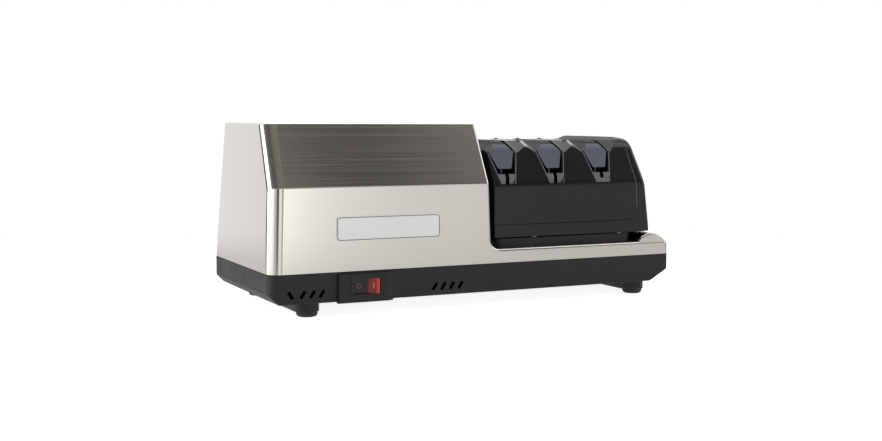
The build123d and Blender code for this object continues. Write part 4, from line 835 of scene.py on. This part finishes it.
class SHARPENER_OT_studio(bpy.types.Operator):
    """Floor, backdrop light, lamps and camera"""
    bl_idname = "sharpener.studio"
    bl_label = "Studio"

    def execute(self, context):
        studio = context.scene.sharpener_studio
        floor_of(studio)
        studio_sky(context.scene)
        camera_of(context.scene, studio)
        for name, setting, position, target, width in LAMPS:
            lamp(name, getattr(studio, setting), position, target, width)
        context.scene.view_settings.view_transform = "Standard"
        return {"FINISHED"}


def floor_of(studio):
    """A plain floor: white to the camera under the object's soft shadow, even in reflections."""
    mesh = bmesh.new()
    bmesh.ops.create_grid(mesh, x_segments=1, y_segments=1, size=FLOOR_SIZE)
    material, _ = blank("pale_floor")
    colour = tuple(studio.floor)
    lit = add(material, "BsdfDiffuse", {"Color": colour, "Roughness": 0.5})
    seen = add(material, "LightPath").outputs["Is Camera Ray"]
    strength = reckon(material, "MULTIPLY", seen, FLOOR_GLOW)
    glow = add(material, "Emission", {"Color": (1.0, 1.0, 1.0, 1.0), "Strength": strength})
    both = add(material, "AddShader", {0: lit.outputs[0], 1: glow.outputs[0]})
    even = add(material, "Emission", {"Color": (1.0, 0.99, 0.975, 1.0), "Strength": FLOOR_MIRRORED})
    mirrored = add(material, "LightPath").outputs["Is Glossy Ray"]
    mixed = add(material, "MixShader", {0: mirrored, 1: both.outputs[0], 2: even.outputs[0]})
    add(material, "OutputMaterial", {"Surface": mixed.outputs[0]})
    data = bpy.data.meshes.new("floor")
    mesh.to_mesh(data)
    mesh.free()
    data.materials.append(material)
    floor = bpy.data.objects.new("floor", data)
    floor.location.z = -FLOOR_DROP
    bpy.context.scene.collection.objects.link(floor)


def studio_sky(scene):
    """White to the camera; to everything else a pale room with a dark flag and a ceiling."""
    world = bpy.data.worlds.new("studio")
    scene.world = world
    world.use_nodes = True
    world.node_tree.nodes.clear()
    way = add(world, "TexCoord").outputs["Generated"]
    back = scaled(world, way, (-1, -1, 1))  # so that a turn of zero is straight in front
    part = add(world, "SeparateXYZ", {"Vector": back}).outputs
    turn = reckon(world, "ARCTAN2", part["X"], part["Y"])
    turn = spread(world, turn, (-pi, pi), (0.0, 1.0))

    def around(levels):
        ramp = add(world, "ValToRGB", {"Fac": turn})
        set_stops(ramp, [((angle + 180) / 360, (level / ROOM_STRENGTH,) * 3 + (1.0,))
                         for angle, level in levels])
        return ramp.outputs[0]

    def rise(fade):
        return add(world, "MapRange", {"Value": part["Z"], 1: fade[0], 2: fade[1], 3: 0.0, 4: 1.0},
                   interpolation_type="SMOOTHSTEP").outputs[0]

    low = around(LOW_ROOM)
    high = around(HIGH_ROOM)
    flag = reckon(world, "MULTIPLY", around(FLAG), ROOM_STRENGTH)
    room = blend(world, rise(HIGH_FADE), low, high)
    below_ceiling = reckon(world, "SUBTRACT", rise(FLAG_FADE), rise(CEILING_FADE))
    flag = reckon(world, "MULTIPLY", flag, below_ceiling)
    flag_tone = scaled(world, around(FLAG_TONE), FLAG_TINT)
    room = blend(world, flag, room, flag_tone)
    room = blend(world, rise(CEILING_FADE), room, CEILING)
    lit = add(world, "Background", {"Color": room, "Strength": ROOM_STRENGTH})
    white = add(world, "Background", {"Color": (1.0, 1.0, 1.0, 1.0), "Strength": 1.0})
    seen = add(world, "LightPath").outputs["Is Camera Ray"]
    mixed = add(world, "MixShader", {0: seen, 1: lit.outputs[0], 2: white.outputs[0]})
    add(world, "OutputWorld", {"Surface": mixed.outputs[0]})


def lamp(name, power, position, target, width):
    """A square soft lamp that looks at a point."""
    light = bpy.data.lights.new(name, "AREA")
    light.energy = power
    light.shape = "SQUARE"
    light.size = width
    lamp_object = bpy.data.objects.new(name, light)
    aim = (Vector(target) - Vector(position)).to_track_quat("-Z", "Y")
    lamp_object.matrix_world = Matrix.Translation(position) @ aim.to_matrix().to_4x4()
    bpy.context.scene.collection.objects.link(lamp_object)


def camera_of(scene, studio):
    """A camera at the object's front left, a little above its top."""
    lens = bpy.data.cameras.new("camera")
    lens.lens = studio.lens
    lens.sensor_width = SENSOR_WIDTH
    camera = bpy.data.objects.new("camera", lens)
    across, upward, onward = (Vector(way) for way in (CAMERA_ACROSS, CAMERA_UPWARD, CAMERA_ONWARD))
    turn = Matrix((across, upward, -onward)).transposed().to_4x4()
    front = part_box("stainless_cover")[0].y
    stand = Vector((CAMERA_PLACE[0], CAMERA_PLACE[1] + front, CAMERA_PLACE[2]))
    stand = stand + CAMERA_SHIFT[0] * across + CAMERA_SHIFT[1] * upward
    camera.matrix_world = Matrix.Translation(stand) @ turn
    scene.collection.objects.link(camera)
    scene.camera = camera


class SHARPENER_PT_panel(bpy.types.Panel):
    """Lists the pieces of the sharpener"""
    bl_idname = "SHARPENER_PT_panel"
    bl_label = "Knife sharpener"
    bl_space_type = "VIEW_3D"
    bl_region_type = "UI"
    bl_category = "Sharpener"

    def draw(self, context):
        layout = self.layout
        for operator in OPERATORS:
            layout.operator(operator.bl_idname)
        for group in (getattr(context.scene, name) for name in GROUPS):
            box = layout.box()
            for name in group.__annotations__:
                box.prop(group, name)


GROUPS = {"sharpener_colours": SharpenerColours, "sharpener_sizes": SharpenerSizes,
          "sharpener_studio": SharpenerStudio}
OPERATORS = (SHARPENER_OT_cover, SHARPENER_OT_base, SHARPENER_OT_switch, SHARPENER_OT_motor,
             SHARPENER_OT_rotor, SHARPENER_OT_dock, SHARPENER_OT_module, SHARPENER_OT_stages,
             SHARPENER_OT_discs, SHARPENER_OT_screws, SHARPENER_OT_studio)


def register():
    for name, group in GROUPS.items():
        bpy.utils.register_class(group)
        setattr(bpy.types.Scene, name, bpy.props.PointerProperty(type=group))
    for kind in OPERATORS + (SHARPENER_PT_panel,):
        bpy.utils.register_class(kind)


def unregister():
    for kind in reversed(OPERATORS + (SHARPENER_PT_panel,)):
        bpy.utils.unregister_class(kind)
    for name, group in GROUPS.items():
        delattr(bpy.types.Scene, name)
        bpy.utils.unregister_class(group)


def main():
    register()
    for operator in OPERATORS:
        group, name = operator.bl_idname.split(".")
        getattr(getattr(bpy.ops, group), name)()


if __name__ == "__main__":
    main()
